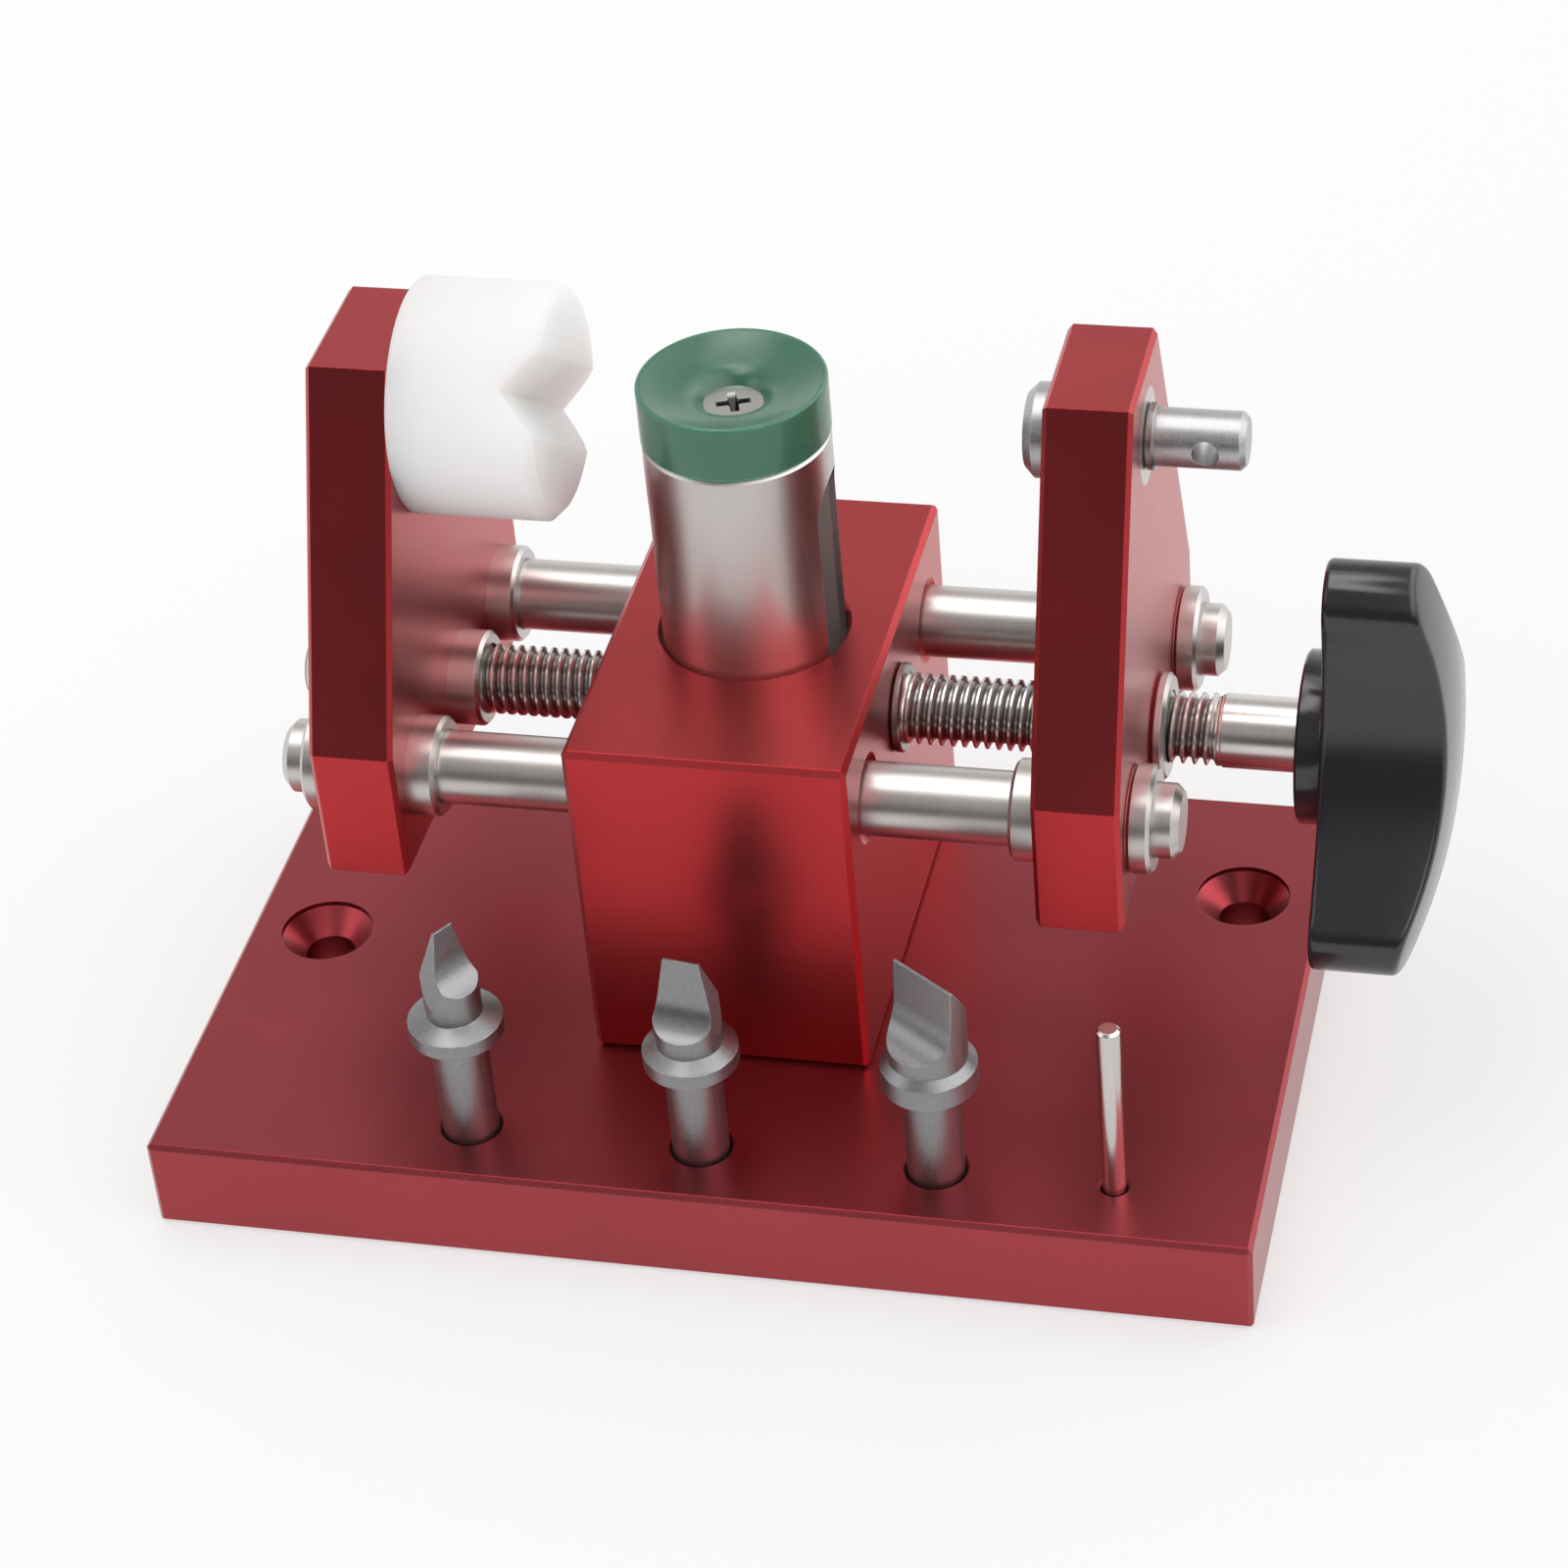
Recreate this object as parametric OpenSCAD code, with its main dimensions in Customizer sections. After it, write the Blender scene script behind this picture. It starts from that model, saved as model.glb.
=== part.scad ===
// Watch case opener: a knob and a two-handed screw close two jaws on a watch
// that lies on a sprung, padded post.
// Millimetres. X points to the knob, Y to the back, Z up.
// The origin is the middle of the base plate's underside.

/* [Base plate] */
// Length of the base plate
base_len = 120; // [112:1:150]
// Depth of the base plate, front to back
base_dep = 75; // [73:1:100]
// Thickness of the base plate
base_thk = 11; // [10:0.5:16]
// Bevel along the edges of the base plate
base_bevel = 0.5; // [0.2:0.1:1.2]
// Bore of a fixing hole
fix_hole_d = 5.5; // [4.5:0.1:6.5]
// Width of a fixing hole's countersink
fix_sink_d = 10.5; // [9:0.1:12]
// Straight rim above the countersink
fix_rim = 0.6; // [0.2:0.1:1]
// Left fixing hole, distance to the left of the middle
fix_left_x = 51.1; // [48:0.1:53]
// Left fixing hole, distance behind the middle
fix_left_y = 0.85; // [-10:0.05:10]
// Right fixing hole, distance to the right of the middle
fix_right_x = 51; // [48:0.1:53]
// Right fixing hole, distance behind the middle
fix_right_y = 20; // [0:0.5:28]

/* [Centre block] */
// Width of the block along the screw
block_w = 30.5; // [28:0.5:34]
// Depth of the block across the screw
block_d = 50.5; // [49:0.5:53]
// Height of the block above the base plate
block_h = 40; // [37:0.5:43]
// Distance of the block's middle behind the middle of the base plate
block_y = 10.5; // [9:0.5:11]
// Bevel along the edges of the block
block_bevel = 0.6; // [0.2:0.1:1.2]
// Thread size of the four screws under the block
block_screw_d = 5; // [4:0.5:5]
// Length of those screws under the head
block_screw_len = 19; // [14:1:22]
// Distance of those screws from the post's axis, along the screw
block_screw_x = 9; // [7:0.5:10]
// Distance of those screws from the post's axis, across the screw
block_screw_y = 20; // [18:0.5:21]

/* [Jaws] */
// Thickness of a jaw
jaw_thk = 9.3; // [8:0.1:11]
// Distance of a jaw's inner face from the post's axis, as the jaws stand
jaw_x = 34.25; // [32:0.25:37]
// Width of a jaw at its foot
jaw_w = 48.8; // [47:0.2:52]
// Width of a jaw at its top
jaw_top_w = 16; // [14:0.5:22]
// Straight side of a jaw below the screw's axis
jaw_foot = 9; // [8.5:0.5:13]
// Straight side of a jaw above the screw's axis
jaw_side = 6.3; // [4:0.1:12]
// Metal above the axis of the spindle
jaw_head = 7.95; // [7:0.05:12]
// Bevel along the edges of a jaw
jaw_bevel = 0.5; // [0.2:0.1:1]
// Height of the spindle's axis above the screw's axis
tool_h = 36.85; // [34:0.05:40]

/* [Rods and screw] */
// Diameter of a guide rod
rod_d = 8; // [6:0.5:9]
// Distance between the two rods
rod_gap = 32.6; // [31:0.2:34]
// Height of the rods and the screw above the base plate
axis_h = 30.2; // [29:0.2:32]
// Length of rod that stands out past a jaw
rod_out = 5.25; // [4:0.25:8]
// Bevel at the ends of the rods and the screw
rod_bevel = 0.8; // [0.4:0.1:1.2]
// Outer diameter of the thread
thread_d = 7.75; // [7:0.05:7.9]
// Diameter of the plain parts of the screw
journal_d = 8; // [8:0.1:8.6]
// Length of thread that stands out past a jaw
thread_out = 7.05; // [6.7:0.05:9]
// Plain length between the thread and the knob's hub
shaft_out = 8.7; // [8:0.1:12]
// Outer diameter of a retaining ring
ring_d = 9.8; // [9.4:0.1:11]
// Thickness of a retaining ring
ring_t = 1; // [0.8:0.1:1.5]

/* [Bushes and nuts] */
// Diameter of a rod bush
bush_d = 10.9; // [10:0.1:11.4]
// Length of a rod bush inside the jaws
bush_in = 3.1; // [1:0.1:5]
// Diameter of a rod bush's flange
bush_flange_d = 11.6; // [11.5:0.1:13]
// Thickness of a rod bush's flange
bush_flange_t = 2.5; // [1.5:0.1:3]
// Diameter of a lead nut
nut_d = 10.6; // [10:0.1:11.4]
// Length of a lead nut inside the jaws
nut_in = 3.45; // [1:0.05:5]
// Diameter of a lead nut's flange
nut_flange_d = 11.6; // [11.5:0.1:13]
// Thickness of a lead nut's flange
nut_flange_t = 1.5; // [1:0.1:1.6]
// Bevel at the ends of the bushes and nuts
bush_bevel = 0.4; // [0.2:0.1:0.6]

/* [Post and pad] */
// Diameter of the post
post_d = 20; // [19:0.1:21]
// Length of the post above the block
post_out = 24.9; // [20:0.1:28]
// Bevel around the top of the post
post_bevel = 0.5; // [0.2:0.1:0.8]
// Metal above the slot in the post
slot_roof = 4.5; // [3:0.1:6]
// Metal below the slot in the post
slot_floor = 4; // [3:0.1:6]
// Diameter of the pad
pad_d = 20.2; // [19:0.1:22]
// Thickness of the pad at its rim
pad_h = 6.3; // [5.5:0.1:9]
// Depth of the dish in the pad
pad_dish = 2.9; // [2:0.1:3.2]
// Width of the flat rim around the dish
pad_rim = 0.25; // [0.2:0.05:1]
// Width of the steeper crater around the screw's head
crater_w = 0.9; // [0.5:0.1:1.5]
// Depth of that crater
crater_h = 1.3; // [0.8:0.1:1.5]
// Head diameter of the pad's screw
pad_head_d = 6.5; // [5.5:0.1:7]
// Thread size of the pad's screw
pad_screw_d = 3; // [2.5:0.1:3.5]
// Length of the pad's screw with its head
pad_screw_len = 7; // [5:0.5:7]

/* [Post spring] */
// Wire diameter of the spring
spring_wire = 1.3; // [1:0.1:1.6]
// Middle diameter of the spring
spring_d = 15.2; // [12:0.2:16.4]
// Number of open turns
spring_turns = 4; // [3:1:5]
// Number of close turns at each end
spring_end_turns = 0.75; // [0.5:0.25:1]
// Gap between the close turns
spring_end_gap = 0.5; // [0.45:0.05:0.7]

/* [V cushion] */
// Diameter of the nylon cushion
cushion_d = 25.2; // [20:0.2:28]
// Length of the nylon cushion
cushion_len = 15.8; // [13:0.1:15.9]
// Width of the groove across its end
groove_w = 9; // [6:0.2:14]
// Depth of the groove
groove_depth = 3.5; // [1:0.1:4]
// Turn of the groove about the screw's axis, from level
groove_turn = -37; // [-90:1:90]
// Bevel around its free end
cushion_bevel = 1; // [0.3:0.1:1.5]
// Bevel around the end at the jaw
cushion_foot_bevel = 0.4; // [0.2:0.1:0.8]
// Thread size of its screw
cushion_screw_d = 4; // [3:0.5:5]
// Length of its screw under the head
cushion_screw_len = 13; // [10:1:14]
// Depth of the recess for that screw's head
cushion_sink = 4.3; // [4:0.1:5.2]

/* [Blades] */
// Diameter of a shank
shank_d = 6.1; // [5:0.1:6.6]
// Length of a shank
shank_len = 19.7; // [18.5:0.1:22]
// Extra shank length of the narrow blade
narrow_extra = 1.2; // [0:0.1:3]
// Bevel at the end of a shank
shank_bevel = 0.6; // [0.3:0.1:1]
// Diameter of a shank's cross hole
cross_hole_d = 2.8; // [2.6:0.1:3.2]
// Distance of the cross hole from the end of the shank
cross_hole_end = 4.05; // [3:0.05:5]
// Diameter of a blade's flange
flange_d = 10.2; // [9:0.1:11]
// Thickness of a thin flange's rim
flange_rim = 1.7; // [1:0.1:3]
// Thickness of the wide blade's flange at its rim
wide_rim = 2.5; // [1:0.1:3]
// Height of the cone on a flange
flange_cone = 0.9; // [0.4:0.1:1.5]
// Thickness of a blade's edge
edge_t = 0.3; // [0.2:0.05:0.6]
// Lean of a blade's flat front face, from upright
face_lean = 4; // [0:1:8]
// Radius of the scoop at the foot of that face
scoop_r = 4; // [2.5:0.5:6]
// Height of the tapered sides of a blade
side_h = 9; // [6:0.1:10]
// Narrow blade: width of the edge
narrow_edge = 2.5; // [1:0.1:5]
// Narrow blade: diameter of the boss
narrow_boss = 6.1; // [5.5:0.1:8]
// Narrow blade: height above the flange's underside
narrow_h = 13.7; // [12:0.1:18]
// Narrow blade: length of the flat front face
narrow_face = 3.8; // [2:0.1:5]
// Narrow blade: height of the back bevel
narrow_back = 9.5; // [3:0.1:10]
// Narrow blade: turn about its axis
narrow_turn = 57; // [-180:1:180]
// Medium blade: width of the edge
medium_edge = 4; // [2:0.1:6]
// Medium blade: diameter of the boss
medium_boss = 7.2; // [6.2:0.1:8.8]
// Medium blade: height above the flange's underside
medium_h = 13.1; // [12:0.1:18]
// Medium blade: length of the flat front face
medium_face = 4.7; // [2:0.1:5]
// Medium blade: height of the back bevel
medium_back = 9; // [3:0.1:9.5]
// Medium blade: turn about its axis
medium_turn = -8; // [-180:1:180]
// Wide blade: diameter of the boss, which is as wide as the edge
wide_boss = 8.4; // [7:0.1:8.8]
// Wide blade: height above the flange's underside
wide_h = 13.8; // [13:0.1:18]
// Wide blade: length of the flat front face
wide_face = 5; // [2:0.1:5.2]
// Wide blade: height of the back bevel
wide_back = 6.5; // [3:0.1:9]
// Wide blade: turn about its axis
wide_turn = -35; // [-180:1:180]
// Distance between the blades that stand in the base plate
rack_pitch = 25.5; // [14:0.5:28]
// Distance of the rack from the front edge of the base plate
rack_front = 8.3; // [7:0.1:12]
// Depth of the rack's holes
rack_depth = 7.5; // [6:0.5:8.5]
// Bevel around the mouth of a rack hole
rack_bevel = 0.35; // [0.2:0.05:0.6]

/* [Spindle] */
// Diameter of the spindle's head
spindle_head_d = 10; // [9:0.1:11]
// Thickness of the spindle's head
spindle_head_t = 3; // [2:0.1:5]
// Bevel around the spindle's head
spindle_head_bevel = 1; // [0.2:0.1:1.4]
// Outer diameter of the spindle's bush
spindle_bush_d = 10.2; // [8.6:0.1:11]
// Outer diameter of the ring on the spindle
spindle_ring_d = 7; // [6.9:0.1:8]
// Thickness of the ring on the spindle
spindle_ring_t = 1; // [0.6:0.1:1.5]

/* [Tommy pin] */
// Diameter of the tommy pin
pin_d = 2.5; // [2:0.1:2.5]
// Length of the tommy pin
pin_len = 29; // [25:1:40]
// Bevel at the ends of the tommy pin
pin_bevel = 0.3; // [0.1:0.1:0.5]
// Distance of its hole from the right edge of the base plate
pin_side = 15.5; // [12:0.5:18]
// Distance of its hole from the front edge of the base plate
pin_front = 8; // [6:0.5:12]

/* [Knob] */
// Distance of a lobe's tip from the screw's axis
knob_r = 25; // [23:0.5:28]
// Radius of a lobe's tip
lobe_r = 4.5; // [4:0.5:8]
// Radius of the hollow between two lobes
hollow_r = 33; // [24:1:40]
// Turn of the knob about the screw's axis, from the back upwards
knob_turn = 100; // [0:1:360]
// Thickness of the knob at a lobe's tip
knob_edge = 9.2; // [8:0.1:12]
// Height of the dome on the knob
dome_h = 4.7; // [2:0.1:6]
// Bevel around a lobe
knob_bevel = 0.6; // [0.3:0.1:1.2]
// Diameter of the hub
hub_d = 18.7; // [16:0.1:20]
// Length of the hub
hub_len = 2.8; // [2:0.1:5]
// Bevel around the hub
hub_bevel = 0.3; // [0.1:0.1:0.6]
// Outer diameter of the metal insert
insert_d = 13; // [11:0.5:14]
// Length of the metal insert
insert_len = 10.7; // [8:0.1:11]

/* [Clearances] */
// Radial gap of a piece that turns or slides in another
run_gap = 0.05; // [0.02:0.01:0.08]
// Radial gap of a tool in its hole in the base plate
rack_gap = 0.1; // [0.05:0.01:0.1]
// Gap between the slot in the post and the screw
slot_gap = 0.1; // [0.05:0.01:0.2]
// End gap of a ring or head against the face that it turns on
face_gap = 0.05; // [0.02:0.01:0.1]

/* [Hidden] */
$fn = 64;

// Heights
axis_z = base_thk + axis_h;
block_top = base_thk + block_h;
tool_z = axis_z + tool_h;
post_top = block_top + post_out;
slot_w = journal_d + 2 * slot_gap;
slot_top = post_top - slot_roof;
post_foot = axis_z - slot_w / 2 - slot_floor;
pad_top = post_top + pad_h;
pad_head_z = pad_top - pad_dish;

// Places along the screw
jaw_out = jaw_x + jaw_thk;
rod_half = jaw_out + rod_out;
thread_end = jaw_out + thread_out;
screw_tip = thread_end + rod_bevel;
ring_x = block_w / 2 + face_gap;
hub_x = thread_end + shaft_out;
knob_x = hub_x + hub_len;

// Places across the screw
rod_y_front = block_y - rod_gap / 2;
rod_y_rear = block_y + rod_gap / 2;
rack_y = rack_front - base_dep / 2;
pin_x = base_len / 2 - pin_side;
pin_y = pin_front - base_dep / 2;

// Fasteners that follow their thread size
block_head_d = 1.7 * block_screw_d;
block_head_h = block_screw_d;
block_sink_d = block_head_d + 1;
block_sink = block_head_h + 0.4;
cushion_head_d = 1.75 * cushion_screw_d;
cushion_head_h = cushion_screw_d;
screw_ease = 0.25;

reach = 200;

SILVER = [0.76, 0.74, 0.72];
RED = [0.62, 0.16, 0.18];
GREEN = [0.28, 0.52, 0.40];
BLACK = [0.12, 0.12, 0.13];
WHITE = [0.93, 0.93, 0.92];
STEEL = [0.60, 0.60, 0.60];
BRASS = [0.75, 0.62, 0.35];

// Helpers

// Turns a shape so that its X, Y and Z become Y, Z and X
module along_x() {
    rotate([90, 0, 90]) children();
}

// Places a shape on the axis through (y, z), with its own Z along X
module on_axis(y, z, x = 0) {
    translate([x, y, z]) along_x() children();
}

// A round bar that stands on Z = 0, bevelled at both ends
module bar(d, len, bevel) {
    rotate_extrude()
        polygon([
            [0, 0], [d / 2 - bevel, 0], [d / 2, bevel],
            [d / 2, len - bevel], [d / 2 - bevel, len], [0, len]
        ]);
}

// A rectangle with its corners cut, middle at the origin
module cut_rect(w, h, c) {
    x = w / 2;
    y = h / 2;
    polygon([
        [c - x, -y], [x - c, -y], [x, c - y], [x, y - c],
        [x - c, y], [c - x, y], [-x, y - c], [-x, c - y]
    ]);
}

// A box with all its edges bevelled, standing on Z = 0
module bevel_box(w, d, h, c) {
    translate([0, 0, h / 2])
        intersection() {
            linear_extrude(h, center = true) cut_rect(w, d, c);
            along_x() linear_extrude(w, center = true) cut_rect(d, h, c);
            rotate([90, 0, 0]) linear_extrude(d, center = true) cut_rect(w, h, c);
        }
}

// A plate across X with a convex outline in Y and Z, bevelled around both faces
module bevel_plate(outline, t, c) {
    n = len(outline);
    section = [[0, c], [c, 0], [reach, 0], [reach, t], [c, t], [0, t - c]];
    along_x()
        intersection_for(i = [0 : n - 1]) {
            p = outline[i];
            q = outline[(i + 1) % n];
            translate([p[0], p[1], 0])
                rotate([0, 0, atan2(q[1] - p[1], q[0] - p[0])])
                    along_x() linear_extrude(2 * reach, center = true) polygon(section);
        }
}

// A cone from d1 up to d2 that ends at the height z
module mouth(d1, d2, z) {
    h = (d2 - d1) / 2;
    translate([0, 0, z - h]) cylinder(d1 = d1, d2 = d2, h = h);
}

// A cap screw with its head down and its underside at Z = 0
module cap_screw(d, len, head_d, head_h) {
    socket = d * 0.8;
    difference() {
        union() {
            translate([0, 0, -head_h]) bar(head_d, head_h, 0.3);
            cylinder(d = d, h = len);
        }
        translate([0, 0, -head_h]) cylinder(d = socket, h = head_h / 2, $fn = 6);
    }
}

// Base plate

module tool_hole(x, y, d) {
    translate([x, y, base_thk - rack_depth]) cylinder(d = d, h = rack_depth + 1);
    translate([x, y, 0]) mouth(d, d + 2 * rack_bevel, base_thk);
}

module fixing_hole(x, y) {
    sink_h = (fix_sink_d - fix_hole_d) / 2;
    translate([x, y, -1]) cylinder(d = fix_hole_d, h = base_thk + 2);
    translate([x, y, 0]) mouth(fix_hole_d, fix_sink_d, base_thk - fix_rim);
    translate([x, y, base_thk - fix_rim]) cylinder(d = fix_sink_d, h = fix_rim + 1);
}

// Repeats a shape at the four screws under the block
module at_block_screws() {
    for (sx = [-1, 1], sy = [-1, 1])
        translate([sx * block_screw_x, block_y + sy * block_screw_y, 0]) children();
}

module base_plate() {
    color(RED)
        difference() {
            bevel_box(base_len, base_dep, base_thk, base_bevel);
            fixing_hole(-fix_left_x, fix_left_y);
            fixing_hole(fix_right_x, fix_right_y);
            for (i = [-1, 0, 1]) tool_hole(i * rack_pitch, rack_y, shank_d + 2 * rack_gap);
            tool_hole(pin_x, pin_y, pin_d + 2 * rack_gap);
            at_block_screws() {
                translate([0, 0, -1]) cylinder(d = block_screw_d + 2 * screw_ease, h = base_thk + 2);
                translate([0, 0, -1]) cylinder(d = block_sink_d, h = block_sink + 1);
            }
        }
}

// Centre block with its screws and rods

module centre_block() {
    screw_top = block_sink + block_screw_len;
    color(RED)
        difference() {
            translate([0, block_y, base_thk])
                bevel_box(block_w, block_d, block_h, block_bevel);
            translate([0, block_y, 0]) {
                cylinder(d = post_d + 2 * run_gap, h = reach);
                mouth(post_d + 2 * run_gap, post_d + 1, block_top);
            }
            on_axis(block_y, axis_z)
                cylinder(d = journal_d + 2 * run_gap, h = reach, center = true);
            for (y = [rod_y_front, rod_y_rear]) {
                on_axis(y, axis_z) cylinder(d = rod_d, h = reach, center = true);
                for (s = [0, 1])
                    mirror([s, 0, 0]) on_axis(y, axis_z) mouth(rod_d, ring_d, block_w / 2);
            }
            at_block_screws() cylinder(d = block_screw_d, h = screw_top);
        }
}

module block_screws() {
    color(STEEL)
        at_block_screws()
            translate([0, 0, block_sink])
                cap_screw(block_screw_d, block_screw_len, block_head_d, block_head_h);
}

module rod(y) {
    color(SILVER) on_axis(y, axis_z, -rod_half) bar(rod_d, 2 * rod_half, rod_bevel);
}

module rod_front() {
    rod(rod_y_front);
}

module rod_rear() {
    rod(rod_y_rear);
}

// Jaws with their bushes and nuts, drawn on the right and mirrored to the left

function jaw_outline() = [
    [-jaw_w / 2, -jaw_foot], [jaw_w / 2, -jaw_foot],
    [jaw_w / 2, jaw_side], [jaw_top_w / 2, tool_h + jaw_head],
    [-jaw_top_w / 2, tool_h + jaw_head], [-jaw_w / 2, jaw_side]
];

module jaw() {
    difference() {
        translate([jaw_x, block_y, axis_z]) bevel_plate(jaw_outline(), jaw_thk, jaw_bevel);
        for (y = [rod_y_front, rod_y_rear])
            on_axis(y, axis_z) cylinder(d = bush_d, h = reach);
        on_axis(block_y, axis_z) cylinder(d = nut_d, h = reach);
    }
}

// A sleeve with a flange on the outer face of the jaw
module flanged_sleeve(y, d, inside, flange_d, flange_t, bore) {
    color(SILVER)
        on_axis(y, axis_z)
            difference() {
                union() {
                    translate([0, 0, jaw_x - inside])
                        bar(d, inside + jaw_thk + flange_t, bush_bevel);
                    translate([0, 0, jaw_out])
                        bar(flange_d, flange_t, bush_bevel);
                }
                cylinder(d = bore, h = reach);
            }
}

module rod_bush(y) {
    flanged_sleeve(y, bush_d, bush_in, bush_flange_d, bush_flange_t, rod_d + 2 * run_gap);
}

module lead_nut() {
    flanged_sleeve(block_y, nut_d, nut_in, nut_flange_d, nut_flange_t, thread_d + 2 * run_gap);
}

module left_jaw() {
    sink_x = jaw_out - cushion_sink;
    color(RED)
        mirror([1, 0, 0])
            difference() {
                jaw();
                on_axis(block_y, tool_z) cylinder(d = cushion_screw_d + 2 * screw_ease, h = reach);
                on_axis(block_y, tool_z, sink_x) cylinder(d = cushion_head_d + 0.6, h = reach);
            }
}

module left_front_bush() {
    mirror([1, 0, 0]) rod_bush(rod_y_front);
}

module left_rear_bush() {
    mirror([1, 0, 0]) rod_bush(rod_y_rear);
}

module left_nut() {
    mirror([1, 0, 0]) lead_nut();
}

module v_cushion() {
    end = jaw_x - cushion_len;
    r = cushion_d / 2;
    color(WHITE)
        mirror([1, 0, 0])
            difference() {
                on_axis(block_y, tool_z, end)
                    rotate_extrude()
                        polygon([
                            [0, 0], [r - cushion_bevel, 0], [r, cushion_bevel],
                            [r, cushion_len - cushion_foot_bevel],
                            [r - cushion_foot_bevel, cushion_len], [0, cushion_len]
                        ]);
                translate([end, block_y, tool_z])
                    rotate([90 + groove_turn, 0, 0])
                        linear_extrude(2 * cushion_d, center = true)
                            polygon([[-1, -groove_w / 2], [0, -groove_w / 2], [groove_depth, 0],
                                     [0, groove_w / 2], [-1, groove_w / 2]]);
                on_axis(block_y, tool_z, jaw_out - cushion_sink - cushion_screw_len)
                    cylinder(d = cushion_screw_d, h = reach);
            }
}

module cushion_screw() {
    color(STEEL)
        mirror([1, 0, 0])
            translate([jaw_out - cushion_sink, block_y, tool_z])
                rotate([0, -90, 0])
                    cap_screw(cushion_screw_d, cushion_screw_len, cushion_head_d, cushion_head_h);
}

module right_jaw() {
    color(RED)
        difference() {
            jaw();
            on_axis(block_y, tool_z) cylinder(d = spindle_bush_d, h = reach);
        }
}

module right_front_bush() {
    rod_bush(rod_y_front);
}

module right_rear_bush() {
    rod_bush(rod_y_rear);
}

module right_nut() {
    lead_nut();
}

module spindle_bush() {
    color(SILVER)
        on_axis(block_y, tool_z, jaw_x)
            difference() {
                cylinder(d = spindle_bush_d, h = jaw_thk);
                translate([0, 0, -1]) cylinder(d = shank_d + 2 * run_gap, h = jaw_thk + 2);
            }
}

// Blades and spindle: the flange's underside is at Z = 0 and the shank points down

module shank(len) {
    difference() {
        translate([0, 0, -len])
            rotate_extrude()
                polygon([[0, 0], [shank_d / 2 - shank_bevel, 0], [shank_d / 2, shank_bevel],
                         [shank_d / 2, len + 0.1], [0, len + 0.1]]);
        translate([0, 0, cross_hole_end - len])
            rotate([90, 0, 0]) cylinder(d = cross_hole_d, h = reach, center = true);
    }
}

// What a tapered side or back takes away, from the edge down to the boss
module taper_cut(half, run, h, r) {
    past = 1.05;
    rotate([90, 0, 0])
        linear_extrude(reach, center = true)
            polygon([
                [half, h], [half + past * (r - half), h - past * run],
                [reach, h - past * run], [reach, h + 1], [half, h + 1]
            ]);
}

// A blade: a flange with a cone, and a boss that is ground to an edge.
// Its front is flat below the edge and then hollowed out to the boss.
module blade(extra, rim, boss_d, h, edge_w, face, back) {
    r = boss_d / 2;
    half_t = edge_t / 2;
    color(STEEL) {
        difference() {
            rotate_extrude()
                polygon([[0, 0], [flange_d / 2, 0], [flange_d / 2, rim],
                         [r, rim + flange_cone], [r, h], [0, h]]);
            translate([0, -half_t, h])
                rotate([-face_lean, 0, 0]) {
                    translate([0, -scoop_r, -face])
                        rotate([0, 90, 0]) cylinder(r = scoop_r, h = reach, center = true);
                    translate([-reach / 2, -reach, -face]) cube([reach, reach, reach]);
                }
            rotate([0, 0, 90]) taper_cut(half_t, back, h, r);
            if (edge_w < boss_d)
                for (a = [0, 180]) rotate([0, 0, a]) taper_cut(edge_w / 2, side_h, h, r);
        }
        shank(shank_len + extra);
    }
}

// Stands a blade in the rack, with its shank on the floor of the hole
module in_rack(i, extra, turn) {
    translate([i * rack_pitch, rack_y, base_thk - rack_depth + shank_len + extra])
        rotate([0, 0, turn]) children();
}

module blade_narrow() {
    in_rack(-1, narrow_extra, narrow_turn)
        blade(narrow_extra, flange_rim, narrow_boss, narrow_h, narrow_edge, narrow_face, narrow_back);
}

module blade_medium() {
    in_rack(0, 0, medium_turn)
        blade(0, flange_rim, medium_boss, medium_h, medium_edge, medium_face, medium_back);
}

module blade_wide() {
    in_rack(1, 0, wide_turn)
        blade(0, wide_rim, wide_boss, wide_h, wide_boss, wide_face, wide_back);
}

module pressure_spindle() {
    color(STEEL)
        translate([jaw_x - face_gap, block_y, tool_z])
            rotate([0, -90, 0]) {
                rotate_extrude()
                    polygon([[0, 0], [spindle_head_d / 2, 0],
                             [spindle_head_d / 2, spindle_head_t - spindle_head_bevel],
                             [spindle_head_d / 2 - spindle_head_bevel, spindle_head_t],
                             [0, spindle_head_t]]);
                shank(shank_len);
            }
}

module spindle_ring() {
    color(SILVER)
        on_axis(block_y, tool_z, jaw_out + face_gap)
            difference() {
                bar(spindle_ring_d, spindle_ring_t, 0.2);
                translate([0, 0, -1]) cylinder(d = shank_d, h = spindle_ring_t + 2);
            }
}

module tommy_pin() {
    color(SILVER)
        translate([pin_x, pin_y, base_thk - rack_depth]) bar(pin_d, pin_len, pin_bevel);
}

// Lead screw, its rings and the knob

module lead_screw() {
    thread_r = thread_d / 2;
    plain_r = journal_d / 2;
    ring_end = ring_x + ring_t;
    end = hub_x + insert_len;
    color(SILVER)
        on_axis(block_y, axis_z)
            rotate_extrude()
                polygon([
                    [0, -screw_tip], [thread_r - rod_bevel, -screw_tip], [thread_r, -thread_end],
                    [thread_r, -ring_end], [plain_r, -ring_end],
                    [plain_r, ring_end], [thread_r, ring_end],
                    [thread_r, thread_end], [plain_r, thread_end],
                    [plain_r, end - rod_bevel], [plain_r - rod_bevel, end], [0, end]
                ]);
}

module screw_rings() {
    color(STEEL)
        for (s = [0, 1])
            mirror([s, 0, 0])
                on_axis(block_y, axis_z, ring_x)
                    difference() {
                        bar(ring_d, ring_t, 0.2);
                        translate([0, 0, -1]) cylinder(d = journal_d, h = ring_t + 2);
                    }
}

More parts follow.
